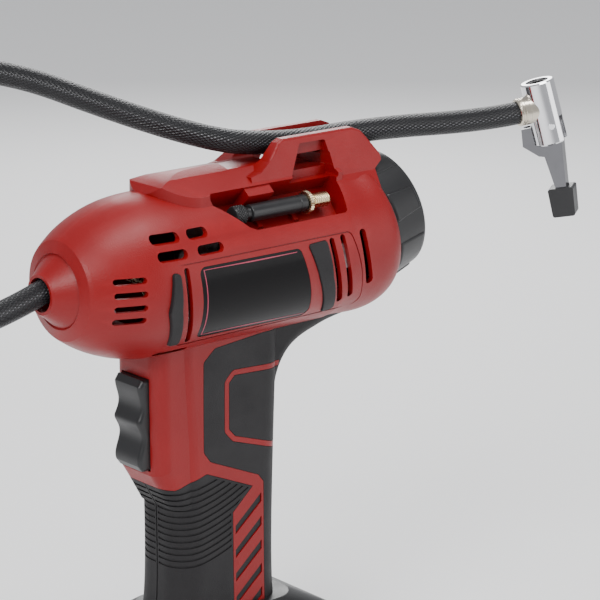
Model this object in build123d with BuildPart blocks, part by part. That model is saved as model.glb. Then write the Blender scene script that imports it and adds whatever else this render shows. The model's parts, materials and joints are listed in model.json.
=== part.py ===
from build123d import *
from math import cos, pi, radians, sin
import os

# Cordless pistol-grip tyre inflator. Millimetres, +Z up, nose towards -X.
# The origin is on the standing face under the battery, below the middle of the barrel.

# ---------------------------------------------------------------- driving dimensions
AXIS_Z = 242.0            # height of the barrel's axis above the standing face
WALL = 2.6                # housing wall
BARREL_R = 40.0
NOSE_X = -108.5           # front of the nose lip
NOSE_BORE_R = 8.2
SHELL_REAR_X = 52.0       # where the straight barrel passes into the tilted rear end
REAR_TILT = 12.4          # the gauge looks up towards the user
REAR_CENTRE = (87.5, 4.7)  # x and height over the axis of the housing's rear rim
REAR_RIM_R = 35.1
GAUGE_LENGTH = 21.8       # rear rim of the housing to the rear rim of the bezel
GAUGE_RIM_R = 32.2

GRIP_BOTTOM = -179.0      # heights below are over the barrel's axis
GRIP_SECTIONS = [         # height, front x, rear x, half width, corner radius
    (-28.0, -44.0, 26.6, 18.5, 12.0),
    (-75.0, -43.0, 26.0, 18.5, 12.5),
    (-115.0, -41.5, 25.3, 19.0, 14.0),
    (-145.0, -41.0, 24.7, 19.5, 14.5),
    (-163.0, -41.3, 24.7, 19.8, 14.5),
    (GRIP_BOTTOM, -42.4, 25.3, 20.3, 14.5),
]
RUBBER = 1.3              # thickness of the soft overmould
RIB_COUNT = 13
RIB_TOP = -109.0
RIB_PITCH = 3.3
RIB_DEPTH = 0.5

HOSE_D = 11.8
GLAND_WALL = 2.2
HOSE_TILT = 20.0          # the hose leaves the nose this far below the axis
CLIP_FLOOR = 45.4         # floor of the hose channel
CLIP_HALF_W = 9.5
TOWER_TOP = 57.6

BAY_ANGLE = 48.4          # direction of the adapter bay over the near side
BAY_FLOOR_R = 30.0
ADAPTER_LIFT = 6.0        # adapter axis over the bay floor
ADAPTER_R = 4.3

MOTOR_Z = -14.0
MOTOR_R = 18.0
CRANK_Z = 8.5
GEAR_MODULE = 1.0
PINION_TEETH = 9
GEAR_TEETH = 36
CRANK_THROW = 7.0
PUMP_X = -19.0            # cylinder axis
CYLINDER_R = 11.0
WRIST_Z = -36.0           # wrist pin with the piston at the head

TRIGGER_TOP = -49.6
TRIGGER_BOTTOM = -96.0
TRIGGER_HALF_W = 10.4

FOOT_DROP = 16.0          # how far the shoe and battery sit below their own datum heights
BATTERY_TOP = -178.3
SHOE_BOTTOM = -178.0

CHUCK_AT = (179.4, -44.8, 59.4)   # where the hose meets the chuck's axis
CHUCK_HEADING = 43.0      # the chuck leans back from a line turned this far towards -Y
CHUCK_RISE = 15.3         # and climbing this far
FERRULE_HEADING = 23.0    # the ferrule meets the chuck a little off that line
FERRULE_RISE = 9.0
CHUCK_R = 8.85
CHUCK_TOP = 14.1
CHUCK_BOTTOM = -18.9
LEVER_PIVOT = (-4.0, -9.4)  # across and up, from where the hose meets the chuck's axis
GAUGE_CASE_R = 28.7
DIAL_AT = 11.0            # dial face, measured from the housing's rear rim along the gauge's axis
NEEDLE_ZERO = 135.0       # the needle rests at the lower left of the dial
SHAFT_R = 1.6
LEVER_HALF_W = 3.7
SLOT_AZIMUTH = 122.0      # the lever's knee points this way from the chuck's axis

SCREW_HEAD_Y = 9.0        # seat of the housing screws' heads
SCREW_HEAD_R = 2.7
SCREW_R = 1.45
SCREW_TIP_Y = -9.0

BARREL_AXIS = Axis((0, 0, AXIS_Z), (1, 0, 0))


# ---------------------------------------------------------------- planes and helpers
def side(y=0.0):
    """Side view: local x is X, local y is the height over the barrel's axis. Normal -Y."""
    return Plane(origin=(0, y, AXIS_Z), x_dir=(1, 0, 0), z_dir=(0, -1, 0))


def cross(x=0.0):
    """Cross-section: local x is Y, local y is the height over the barrel's axis. Normal +X."""
    return Plane(origin=(x, 0, AXIS_Z), x_dir=(0, 1, 0), z_dir=(1, 0, 0))


def level(z):
    """Plan view at a height over the barrel's axis: local x is X, local y is Y."""
    return Plane(origin=(0, 0, AXIS_Z + z), x_dir=(1, 0, 0), z_dir=(0, 0, 1))


def tilted(x, z, tilt):
    """Cross-section plane whose normal leans up by tilt towards the rear."""
    normal = (cos(radians(tilt)), 0, sin(radians(tilt)))
    return Plane(origin=(x, 0, AXIS_Z + z), x_dir=(0, 1, 0), z_dir=normal)


GAUGE = tilted(REAR_CENTRE[0], REAR_CENTRE[1], REAR_TILT)
BAY_OUT = (0, -sin(radians(BAY_ANGLE - 6.8)), cos(radians(BAY_ANGLE - 6.8)))
BAY = Plane(
    origin=(0, BAY_FLOOR_R * BAY_OUT[1], AXIS_Z + BAY_FLOOR_R * BAY_OUT[2]),
    x_dir=(1, 0, 0),
    z_dir=BAY_OUT,
)
CHUCK_UP = Vector(
    -sin(radians(CHUCK_RISE)) * cos(radians(CHUCK_HEADING)),
    sin(radians(CHUCK_RISE)) * sin(radians(CHUCK_HEADING)),
    cos(radians(CHUCK_RISE)),
)
FERRULE_DIR = Vector(
    cos(radians(FERRULE_RISE)) * cos(radians(FERRULE_HEADING)),
    -cos(radians(FERRULE_RISE)) * sin(radians(FERRULE_HEADING)),
    sin(radians(FERRULE_RISE)),
)
CHUCK_ORIGIN = Vector(CHUCK_AT[0], CHUCK_AT[1], AXIS_Z + CHUCK_AT[2])
SLOT_LEVEL = Vector(cos(radians(SLOT_AZIMUTH)), sin(radians(SLOT_AZIMUTH)), 0)
SLOT_DIR = (SLOT_LEVEL - CHUCK_UP * SLOT_LEVEL.dot(CHUCK_UP)).normalized()
CHUCK = Plane(origin=CHUCK_ORIGIN, x_dir=SLOT_DIR, z_dir=CHUCK_UP)


def nose_point(s):
    """A point on the tilted line through the nose; s is measured inwards from the lip."""
    return Vector(
        NOSE_X + s * cos(radians(HOSE_TILT)), 0, AXIS_Z + 0.4 + s * sin(radians(HOSE_TILT))
    )


NOSE_DIR = (nose_point(1.0) - nose_point(0.0)).normalized()


def save(node, name):
    """Label a finished piece and write it."""
    node.part.label = name
    export_step(node.part, f"parts/{name}.step")
    return node.part


def extruded(plane, points, amount, both=False):
    """A straight prism over a polygon, as a private solid for cutting and keeping."""
    with BuildPart() as prism:
        with BuildSketch(plane):
            with BuildLine():
                Polyline(*points, close=True)
            make_face()
        extrude(amount=amount, both=both)
    return prism.part


def rod_along(start, end, radius):
    """A round bar between two points."""
    a = Vector(*start)
    b = Vector(*end)
    with BuildPart() as bar:
        with BuildSketch(Plane(origin=a, z_dir=(b - a).normalized())):
            Circle(radius)
        extrude(amount=(b - a).length)
    return bar.part


# ---------------------------------------------------------------- outer form
def barrel_profile(inset):
    """Half profile of the barrel from the nose to where its rear end begins."""
    with BuildLine() as line:
        shoulder = (-95.8, 25.3 - inset)
        Spline(
            shoulder,
            (-88.0, 30.2 - inset),
            (-78.0, 34.7 - inset),
            (-66.0, 38.2 - inset),
            (-54.0, 39.7 - inset),
            (-43.0, BARREL_R - inset),
            tangents=((1, 0.68), (1, 0)),
        )
        Line((-43.0, BARREL_R - inset), (SHELL_REAR_X, BARREL_R - inset))
    return line.line


def make_barrel(inset):
    """The barrel as a solid: outer form at inset 0, its hollow at inset WALL."""
    with BuildPart() as barrel:
        with BuildSketch(side()):
            with BuildLine():
                add(barrel_profile(inset))
                if inset == 0:
                    Polyline(
                        (-95.8, 25.3),
                        (-97.3, 24.1),
                        (-99.2, 18.3),
                        (-98.6, 17.6),
                        (-99.9, 16.4),
                        (-107.3, 10.4),
                        (NOSE_X, 9.6),
                        (NOSE_X, 0),
                    )
                    Line((NOSE_X, 0), (SHELL_REAR_X, 0))
                else:
                    Polyline(
                        (-95.8, 25.3 - inset),
                        (-96.0, 14.5),
                        (-104.8, 10.2),
                        (-105.6, NOSE_BORE_R),
                        (NOSE_X - 1, NOSE_BORE_R),
                        (NOSE_X - 1, 0),
                    )
                    Line((NOSE_X - 1, 0), (SHELL_REAR_X, 0))
                Line((SHELL_REAR_X, 0), (SHELL_REAR_X, BARREL_R - inset))
            make_face()
        revolve(axis=BARREL_AXIS)
    return barrel.part


def make_rear(inset):
    """The rear end of the barrel, drawn in to the tilted rim round the gauge."""
    rim_r = REAR_RIM_R if inset == 0 else REAR_RIM_R - 1.5
    beyond = 0.0 if inset == 0 else 0.6
    with BuildPart() as rear:
        with BuildSketch(cross(SHELL_REAR_X)):
            Circle(BARREL_R - inset)
        with BuildSketch(tilted(66.0, 0.2, 3.0)):
            Circle(BARREL_R - inset)
        with BuildSketch(tilted(79.0, 1.2, 8.0)):
            Circle(BARREL_R - inset)
        with BuildSketch(tilted(84.6, 3.1, 10.6)):
            Circle(38.4 - inset)
        with BuildSketch(GAUGE.offset(beyond)):
            Circle(rim_r)
        loft()
    return rear.part


def make_grip(inset):
    """The rounded column of the grip."""
    with BuildPart() as grip:
        for height, front, rear, half_w, corner in GRIP_SECTIONS:
            with BuildSketch(level(height)):
                with Locations(((front + rear) / 2, 0)):
                    RectangleRounded(rear - front - 2 * inset, 2 * (half_w - inset), corner - inset)
        loft()
    return grip.part


def make_trigger_housing(inset):
    """The block in front of the grip that carries the trigger."""
    with BuildPart() as block:
        with BuildSketch(side()):
            with BuildLine():
                Polyline(
                    (-30.0, -26.0),
                    (-52.5 + inset, -26.0),
                    (-53.6 + inset, -44.0),
                    (-53.0 + inset, -98.5),
                    (-49.0 + inset, -105.0 + inset / 2),
                    (-41.0 + inset, -119.0 + inset / 2),
                    (-30.0, -119.0 + inset / 2),
                    close=True,
                )
            make_face()
        extrude(amount=17.6 - inset, both=True)
        front_edges = block.edges().filter_by(lambda e: e.center().X < -40 and abs(e.center().Y) > 10)
        fillet(front_edges, 8.0 - inset)
    return block.part


def make_gusset(inset):
    """The web that sweeps from the back of the grip up under the barrel."""
    with BuildPart() as web:
        with BuildSketch(side()):
            with BuildLine():
                Line((12.0, -74.0 + inset), (25.2 - inset, -74.0 + inset))
                Spline(
                    (25.2 - inset, -74.0 + inset),
                    (27.8 - inset, -59.5 + inset / 2),
                    (35.6 - inset / 2, -49.4 + inset),
                    (52.0, -42.6 + inset),
                    (76.0, -38.2 + inset),
                    tangents=((0, 1), (1, 0.12)),
                )
                Polyline((76.0, -38.2 + inset), (70.0, -24.0), (12.0, -24.0), (12.0, -74.0 + inset))
            make_face()
        extrude(amount=15.5 - inset, both=True)
        sweep_edges = web.edges().filter_by(
            lambda e: abs(e.center().Y) > 10 and e.center().X > 25 and e.center().Z < AXIS_Z - 36
        )
        fillet(sweep_edges, 7.0 - inset)
    return web.part


def make_deck(inset):
    """The roof-shaped ridge along the top of the barrel, with a bow-shaped front."""
    with BuildPart() as deck:
        with BuildSketch(cross(-52.0)):
            with BuildLine():
                Polyline(
                    (-22.0 + inset, 20.0),
                    (-22.0 + inset, 38.4 - inset),
                    (-9.0, 45.7 - inset),
                    (0, 47.6 - inset),
                    (9.0, 45.7 - inset),
                    (22.0 - inset, 38.4 - inset),
                    (22.0 - inset, 20.0),
                    close=True,
                )
            make_face()
        extrude(amount=112.0 - inset)
        with BuildSketch(level(20.0)):
            with BuildLine():
                ThreePointArc((-49.5 + inset, 0), (-44.0 + inset, -15.0 + inset), (-30.0, -22.0 + inset))
                Line((-30.0, -22.0 + inset), (70.0, -22.0 + inset))
                Line((70.0, -22.0 + inset), (70.0, 22.0 - inset))
                Line((70.0, 22.0 - inset), (-30.0, 22.0 - inset))
                ThreePointArc((-30.0, 22.0 - inset), (-44.0 + inset, 15.0 - inset), (-49.5 + inset, 0))
            make_face()
        extrude(amount=40.0, mode=Mode.INTERSECT)
        with BuildSketch(side()):
            with BuildLine():
                Polyline((-49.5, 18.0), (-49.5, 39.5), (-46.5, 43.6 - inset))
                Spline(
                    (-46.5, 43.6 - inset),
                    (-38.0, 45.9 - inset),
                    (-22.0, 47.4 - inset),
                    (-5.0, 47.8 - inset),
                )
                Polyline((-5.0, 47.8 - inset), (64.0, 47.8 - inset), (64.0, 18.0), (-49.5, 18.0))
            make_face()
        extrude(amount=30.0, both=True, mode=Mode.INTERSECT)
    return deck.part


def make_tower():
    """Two slanted walls and a rear shoulder that hold the hose on top of the barrel."""
    outline = [
        (4.0, 30.0), (4.0, 42.5), (11.0, 44.0), (17.0, 48.0), (24.5, 56.0), (28.0, TOWER_TOP),
        (74.0, TOWER_TOP), (79.3, 55.6), (82.6, 51.8), (89.0, 43.6), (89.0, 40.0), (84.0, 36.5), (82.0, 24.0),
        (30.0, 24.0),
    ]
    section = [
        (-30.0, 23.0), (-20.5, 36.0), (-13.5, TOWER_TOP + 1), (13.5, TOWER_TOP + 1), (20.5, 36.0), (30.0, 23.0),
    ]
    with BuildPart() as tower:
        add(extruded(side(), outline, 40.0, both=True))
        add(extruded(cross(0.0), section, 95.0), mode=Mode.INTERSECT)
        top_edges = tower.edges().filter_by(lambda e: e.center().Z > AXIS_Z + 47 and abs(e.center().Y) > 9)
        fillet(top_edges, 1.6)
    return tower.part


def make_bay(grow):
    """The pocket beside the deck that stores the adapters."""
    outline = [
        (-27.0 - grow, 10.5 + grow), (-9.0 - grow, -9.5), (-5.0 - grow / 2, -11.5 - grow),
        (53.0 + grow, -11.5 - grow), (57.0 + grow, 10.5 + grow),
    ]
    with BuildPart() as bay:
        with BuildSketch(BAY.offset(-grow)):
            with BuildLine():
                Polyline(*outline, close=True)
            make_face()
            fillet(vertices(), 2.0 + grow)
        extrude(amount=26.0)
    return bay.part


# ---------------------------------------------------------------- side-view outlines
LABEL_OUTLINE = [(-45.3, 10.1), (17.8, 9.4), (32.0, -28.7), (-40.1, -26.9)]
BUMPER_OUTLINES = [
    [(-60.4, 9.9), (-56.4, 9.2), (-55.2, -8.7), (-49.8, -28.6), (-56.2, -28.2), (-62.6, -9.0)],
    [(22.6, 10.3), (34.8, 10.8), (39.5, -8.5), (48.2, -27.9), (41.0, -29.0), (30.5, -8.5)],
]
FRAME_OUTLINE = [(-64.5, 12.9), (51.5, 12.6), (66.5, -29.5), (-50.5, -29.8)]
SCREW_POINTS = [(-78.0, 21.0), (-80.0, -18.0), (72.0, 25.0), (70.0, -30.0), (-36.0, -106.0),
                (14.5, -62.0), (12.0, -104.0), (-8.0, -150.0)]


def side_cut(outline, corner, from_y, depth, sketch_offset=0.0):
    """A prism through the near side wall, over an outline in the side view."""
    with BuildPart() as cut:
        with BuildSketch(side(from_y)):
            with BuildLine():
                Polyline(*outline, close=True)
            make_face()
            if sketch_offset:
                offset(amount=sketch_offset, kind=Kind.INTERSECTION)
            if corner:
                fillet(vertices(), corner)
        extrude(amount=depth)
    return cut.part


def ring(inner, outer, start=-70.0, end=70.0):
    """A tube round the barrel's axis."""
    with BuildPart() as tube:
        with BuildSketch(cross(start)):
            Circle(outer)
            Circle(inner, mode=Mode.SUBTRACT)
        extrude(amount=end - start)
    return tube.part


def arc_slot(top, middle, bottom, width):
    """A slanted, slightly bowed slot through the near side wall."""
    with BuildPart() as slot:
        with BuildSketch(side(-15.0)):
            with BuildLine() as path:
                bow = ThreePointArc(top, middle, bottom)
            SlotArc(arc=bow, height=width)
        extrude(amount=32.0)
    return slot.part


def make_vents():
    """All the air slots of the near side."""
    with BuildPart() as vents:
        add(arc_slot((-52.3, 9.8), (-50.4, -8.0), (-44.8, -27.0), 2.8))
        add(arc_slot((38.4, 9.6), (42.4, -7.0), (49.2, -22.8), 3.2))
        add(arc_slot((45.6, 10.2), (49.2, -6.0), (55.5, -21.1), 3.2))
        add(arc_slot((58.8, 10.4), (61.4, -3.0), (65.6, -14.9), 4.2))
        for height in (8.2, 1.8, -4.8, -11.0):
            with BuildSketch(side(-20.0)):
                with Locations((-80.6, height)):
                    SlotOverall(15.0, 3.0)
            extrude(amount=25.0)
        for height, spans in ((24.6, ((-66.6, -51.0), (-46.5, -34.4))), (17.2, ((-65.8, -49.6), (-43.6, -28.0)))):
            for start, end in spans:
                with BuildSketch(side(-24.0)):
                    with Locations(((start + end) / 2, height)):
                        SlotOverall(end - start, 4.6)
                extrude(amount=20.0)
        with BuildSketch(side(-10.0)):
            with Locations((-48.0, -34.4)):
                SlotOverall(19.0, 2.6, rotation=0)
        extrude(amount=20.0)
    return vents.part


def mirrored(solid):
    return mirror(solid, about=Plane.XZ)


# ---------------------------------------------------------------- soft overmould
FRONT_PAD = [
    (-60.0, -104.0), (-43.0, -106.6), (-32.0, -103.8), (-24.5, -101.6), (5.0, -114.4), (-8.0, -125.5),
    (-8.0, -195.0), (-60.0, -195.0),
]
REAR_PAD = [
    (-26.2, -44.5), (-19.0, -38.5), (12.0, -36.0), (40.0, -36.5), (80.0, -34.0), (80.0, -60.0), (40.0, -90.0),
    (40.0, -195.0), (11.8, -195.0), (11.8, -113.5), (8.5, -109.4), (-22.0, -96.2), (-26.2, -90.5),
]
SLOT_TOPS = (-127.0, -139.5, -152.0, -164.5, -177.0)
SEAM = 0.25               # fine gap round the soft pads
SLOT_DEPTH = 0.6


def pad_region(outline, seam, holes):
    """A pad's area in the side view, drawn in by the seam, as a bar through the grip."""
    with BuildPart() as region:
        with BuildSketch(side()):
            with BuildLine():
                Polyline(*outline, close=True)
            make_face()
            fillet(vertices().filter_by(lambda v: -30 < v.X < -18), 3.0)
            if seam:
                offset(amount=-seam, kind=Kind.INTERSECTION)
            if holes:
                with BuildLine():
                    inlay = FilletPolyline(
                        (25.0, -55.0), (-7.0, -53.2), (-11.4, -57.4), (-11.4, -82.3), (-7.0, -87.2), (32.0, -100.2),
                        radius=2.4,
                    )
                trace(inlay, line_width=2.6 + 2 * seam, mode=Mode.SUBTRACT)
        extrude(amount=60.0, both=True)
    return region.part


def strip_slots(seam):
    """Slanted dark slots in the strip between the pads."""
    with BuildPart() as slots:
        with BuildSketch(side()):
            for start in SLOT_TOPS:
                with BuildLine():
                    Polyline(
                        (-6.6 + seam, start - 5.9 - 0.5 * seam), (10.4 - seam, start + 8.0 - 2.1 * seam),
                        (10.4 - seam, start + 3.2 + 0.5 * seam), (-6.6 + seam, start - 10.4 + 2.1 * seam),
                        close=True,
                    )
                make_face()
        extrude(amount=60.0, both=True)
    return slots.part


def overmould_region(seam=0.0):
    """Side-view area of the soft grip: rear pad, ribbed front pad and the strip's slots."""
    return (
        pad_region(FRONT_PAD, seam, False) + pad_region(REAR_PAD, seam, True) + strip_slots(seam)
    )


def rib_grooves():
    """Curved grooves that sweep back and up over the front of the grip, and its centre seam."""
    with BuildPart() as grooves:
        with BuildSketch(side()):
            for number in range(RIB_COUNT):
                low = RIB_TOP - number * RIB_PITCH
                with BuildLine():
                    rib = ThreePointArc((-58.0, low + 1.0), (-28.0, low + 1.2), (6.0, low + 13.5))
                trace(rib, line_width=1.1)
        extrude(amount=30.0, both=True)
        with BuildSketch(cross(-70.0)):
            with Locations((0, -150.0)):
                Rectangle(2.4, 92.0)
        extrude(amount=60.0, mode=Mode.SUBTRACT)
        add(pad_region(FRONT_PAD, 1.3, False), mode=Mode.INTERSECT)
        with BuildSketch(cross(-70.0)):
            with Locations((0, -150.0)):
                Rectangle(0.7, 92.0)
        extrude(amount=50.0)
    return grooves.part


def grip_form(inset):
    """Grip and gusset together, the surface that the overmould covers."""
    with BuildPart() as form:
        add(make_grip(inset))
        add(make_gusset(inset))
        add(make_trigger_housing(inset))
    return form.part


# ---------------------------------------------------------------- housing
def make_bosses(radius):
    """Screw posts across the housing, long enough to reach both walls."""
    with BuildPart() as bosses:
        with BuildSketch(side()):
            with Locations(*SCREW_POINTS):
                Circle(radius)
        extrude(amount=36.0, both=True)
    return bosses.part


def make_outer():
    with BuildPart() as outer:
        add(make_barrel(0))
        add(make_rear(0))
        add(make_deck(0))
        add(make_tower())
        add(make_grip(0))
        add(make_trigger_housing(0))
        add(make_gusset(0))
    return outer.part


def make_hollow():
    """The inside of the housing, with the bay's walls and the screw posts left standing."""
    with BuildPart() as hollow:
        add(make_barrel(WALL))
        add(make_rear(WALL))
        add(make_grip(WALL))
        add(make_trigger_housing(WALL))
        add(make_gusset(WALL))
        with BuildSketch(level(GRIP_BOTTOM - 1.0)):
            with Locations((-9.5, 0)):
                RectangleRounded(63.0 - 2 * WALL, 41.0 - 2 * WALL, 9.0)
        extrude(amount=3.0)
        add(make_bay(2.2), mode=Mode.SUBTRACT)
        add(make_bosses(4.6), mode=Mode.SUBTRACT)
    return hollow.part


def make_clip_cuts():
    """The hose channel between the tower walls, the space below it, and the two windows."""
    rim = [(27.0, 36.0), (38.0, 54.3), (54.6, 54.3), (58.0, 36.0)]
    hole = [(31.0, 40.6), (36.6, 48.6), (56.2, 48.6), (57.2, 40.6)]
    with BuildPart() as cuts:
        with BuildSketch(cross(-2.0)):
            with Locations((0, CLIP_FLOOR + 15.0)):
                RectangleRounded(2 * CLIP_HALF_W, 30.0, 3.0)
        extrude(amount=100.0)
        with BuildSketch(level(40.4)):
            with Locations((43.0, 0)):
                RectangleRounded(31.0, 2 * CLIP_HALF_W, 2.0)
        extrude(amount=20.0)
        for near in (True, False):
            recess = side_cut(rim, 1.5, -12.4, 20.0)
            window = side_cut(hole, 1.2, -8.0, 20.0)
            add(recess if near else mirrored(recess))
            add(window if near else mirrored(window))
    return cuts.part


def make_skin_cuts():
    """Seats for the label panels and bumpers, and the fine line framing them."""
    with BuildPart() as cuts:
        add(side_cut(LABEL_OUTLINE, 3.5, -15.0, 30.0))
        for outline in BUMPER_OUTLINES:
            add(side_cut(outline, 1.6, -15.0, 30.0))
        add(ring(BARREL_R - 1.4, BARREL_R + 5), mode=Mode.INTERSECT)
        with BuildPart(mode=Mode.PRIVATE) as line:
            add(side_cut(FRAME_OUTLINE, 4.0, -15.0, 30.0))
            add(side_cut(FRAME_OUTLINE, 3.6, -15.0, 30.0, sketch_offset=-0.6), mode=Mode.SUBTRACT)
            add(ring(BARREL_R - 0.5, BARREL_R + 5), mode=Mode.INTERSECT)
        add(line.part)
    return cuts.part


def make_trigger_opening():
    with BuildPart() as opening:
        with BuildSketch(cross(-60.0)):
            with Locations((0, (TRIGGER_TOP + TRIGGER_BOTTOM) / 2)):
                Rectangle(2 * TRIGGER_HALF_W + 0.6, TRIGGER_TOP - TRIGGER_BOTTOM + 0.6)
        extrude(amount=13.0)
    return opening.part


def make_screw_holes(radius, head_radius, head_y):
    """Holes for the housing screws, counterbored from the +Y side down to head_y."""
    with BuildPart() as holes:
        with BuildSketch(side(45.0)):
            with Locations(*SCREW_POINTS):
                Circle(radius)
        extrude(amount=45.0 - SCREW_TIP_Y + 0.5)
        with BuildSketch(side(45.0)):
            with Locations(*SCREW_POINTS):
                Circle(head_radius)
        extrude(amount=45.0 - head_y)
    return holes.part



def make_housing(pocket):
    """Both housing halves in one solid, with every seat and opening cut."""
    near_vents = make_vents()
    skin_cuts = make_skin_cuts()
    with BuildPart() as housing:
        add(make_outer())
        add(pocket, mode=Mode.SUBTRACT)
        add(make_hollow(), mode=Mode.SUBTRACT)
        add(make_bay(0), mode=Mode.SUBTRACT)
        add(make_clip_cuts(), mode=Mode.SUBTRACT)
        add(skin_cuts, mode=Mode.SUBTRACT)
        add(mirrored(skin_cuts), mode=Mode.SUBTRACT)
        add(near_vents, mode=Mode.SUBTRACT)
        add(mirrored(near_vents), mode=Mode.SUBTRACT)
        add(make_trigger_opening(), mode=Mode.SUBTRACT)
        with BuildSketch(GAUGE.offset(-5.0)):
            Circle(REAR_RIM_R - 1.6)
        extrude(amount=6.0, mode=Mode.SUBTRACT)
        with BuildSketch(GAUGE.offset(0.1)):
            Circle(REAR_RIM_R - 0.3)
        extrude(amount=GAUGE_LENGTH, mode=Mode.SUBTRACT)
        with BuildSketch(Plane(origin=nose_point(4.9), z_dir=NOSE_DIR)):
            Circle(HOSE_D / 2 + GLAND_WALL + 0.05)
        extrude(amount=18.0, mode=Mode.SUBTRACT)
        with BuildSketch(BAY):
            with Locations((6.0, 8.4)):
                Rectangle(16.0, 5.6)
        extrude(amount=12.0)
        with BuildSketch(BAY.offset(-0.5)):
            with Locations((4.5, 0), (27.0, 0)):
                Rectangle(2.4, 12.0)
        extrude(amount=ADAPTER_LIFT - ADAPTER_R - 0.05 + 0.5)
    return housing.part


def make_overmould():
    """The pocket in the housing, and the soft skin that fills it but for a fine seam and its ribs."""
    barrel_keep = make_barrel(0) + make_rear(0)
    skin = grip_form(0) - grip_form(RUBBER)
    pocket = (skin & overmould_region()) - barrel_keep
    grooves = rib_grooves() & (grip_form(0) - grip_form(RIB_DEPTH))
    sunk = strip_slots(0.0) - grip_form(SLOT_DEPTH)
    return pocket, (skin & overmould_region(SEAM)) - barrel_keep - grooves - sunk


def half(solid, keep):
    """The near (-Y) half with Keep.TOP, the far half with Keep.BOTTOM."""
    with BuildPart() as piece:
        add(solid)
        split(bisect_by=Plane.XZ, keep=keep)
    return piece.part


os.makedirs("parts", exist_ok=True)

# ---------------------------------------------------------------- housing nodes
grip_pocket, overmould = make_overmould()
housing = make_housing(grip_pocket)

with BuildPart() as housing_left:
    add(half(housing, Keep.TOP))
    add(make_screw_holes(SCREW_R, SCREW_R, SCREW_HEAD_Y), mode=Mode.SUBTRACT)
save(housing_left, "housing_left")

with BuildPart() as housing_right:
    add(half(housing, Keep.BOTTOM))
    add(make_screw_holes(SCREW_R + 0.2, SCREW_HEAD_R + 0.3, SCREW_HEAD_Y), mode=Mode.SUBTRACT)
save(housing_right, "housing_right")

with BuildPart() as grip_overmould_left:
    add(half(overmould, Keep.TOP))
save(grip_overmould_left, "grip_overmould_left")

with BuildPart() as grip_overmould_right:
    add(half(overmould, Keep.BOTTOM))
    add(make_screw_holes(SCREW_R + 0.2, SCREW_HEAD_R + 0.3, SCREW_HEAD_Y), mode=Mode.SUBTRACT)
save(grip_overmould_right, "grip_overmould_right")

with BuildPart() as housing_screws:
    with BuildSketch(side(SCREW_HEAD_Y)):
        with Locations(*SCREW_POINTS):
            Circle(SCREW_R)
    extrude(amount=SCREW_HEAD_Y - SCREW_TIP_Y)
    with BuildSketch(side(SCREW_HEAD_Y)):
        with Locations(*SCREW_POINTS):
            Circle(SCREW_HEAD_R)
            RegularPolygon(radius=1.2, side_count=6, mode=Mode.SUBTRACT)
    extrude(amount=-2.4)
    with BuildSketch(side(SCREW_HEAD_Y)):
        with Locations(*SCREW_POINTS):
            RegularPolygon(radius=1.2, side_count=6)
    extrude(amount=-0.8)
save(housing_screws, "housing_screws")


# ---------------------------------------------------------------- panels and bumpers
def make_badge(near):
    """Smooth panel let into the side of the barrel."""
    with BuildPart() as panel:
        add(side_cut(LABEL_OUTLINE, 3.3, -15.0, 30.0, sketch_offset=-0.15))
        add(ring(BARREL_R - 1.3, BARREL_R - 0.15), mode=Mode.INTERSECT)
    return panel.part if near else mirrored(panel.part)


def make_bumper(outline, near):
    """Soft pad that stands a little proud of the barrel."""
    with BuildPart() as pad:
        add(side_cut(outline, 1.5, -15.0, 30.0, sketch_offset=-0.15))
        add(ring(BARREL_R - 1.3, BARREL_R + 0.9), mode=Mode.INTERSECT)
        outer_edges = pad.edges().filter_by(
            lambda e: all((v.Y ** 2 + (v.Z - AXIS_Z) ** 2) ** 0.5 > BARREL_R + 0.5 for v in e.vertices())
        )
        fillet(outer_edges, 0.5)
    return pad.part if near else mirrored(pad.part)


for hand, near in (("left", True), ("right", False)):
    with BuildPart() as side_badge:
        add(make_badge(near))
    save(side_badge, f"side_badge_{hand}")
    for place, outline in zip(("front", "rear"), BUMPER_OUTLINES):
        with BuildPart() as bumper:
            add(make_bumper(outline, near))
        save(bumper, f"{place}_bumper_{hand}")

# ---------------------------------------------------------------- pressure gauge
with BuildPart() as gauge_bezel:
    with BuildSketch(GAUGE.offset(-4.5)):
        Circle(REAR_RIM_R - 1.7)
    extrude(amount=4.7)
    with BuildSketch(GAUGE.offset(0.2)):
        Circle(REAR_RIM_R - 0.5)
    with BuildSketch(GAUGE.offset(GAUGE_LENGTH - 1.2)):
        Circle(GAUGE_RIM_R)
    loft()
    with BuildSketch(GAUGE.offset(GAUGE_LENGTH - 1.2)):
        Circle(GAUGE_RIM_R)
    with BuildSketch(GAUGE.offset(GAUGE_LENGTH)):
        Circle(GAUGE_RIM_R - 1.0)
    loft()
    with BuildSketch(GAUGE.offset(-5.0)):
        Circle(GAUGE_CASE_R + 0.2)
    extrude(amount=GAUGE_LENGTH + 3.5, mode=Mode.SUBTRACT)
    with BuildSketch(GAUGE.offset(-5.0)):
        Circle(GAUGE_CASE_R - 2.1)
    extrude(amount=GAUGE_LENGTH + 8.0, mode=Mode.SUBTRACT)
save(gauge_bezel, "gauge_bezel")

with BuildPart() as gauge_case:
    with BuildSketch(GAUGE.offset(-3.0)):
        Circle(GAUGE_CASE_R)
    extrude(amount=DIAL_AT + 5.0)
    with BuildSketch(GAUGE.offset(DIAL_AT)):
        Circle(GAUGE_CASE_R - 1.5)
    extrude(amount=5.0, mode=Mode.SUBTRACT)
    with BuildSketch(GAUGE.offset(DIAL_AT - 2.0)):
        Circle(1.0)
    extrude(amount=5.0, mode=Mode.SUBTRACT)
save(gauge_case, "gauge_case")

with BuildPart() as gauge_dial:
    with BuildSketch(GAUGE.offset(DIAL_AT)):
        Circle(GAUGE_CASE_R - 1.6)
        Circle(1.0, mode=Mode.SUBTRACT)
    extrude(amount=0.8)
save(gauge_dial, "gauge_dial")

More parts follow.
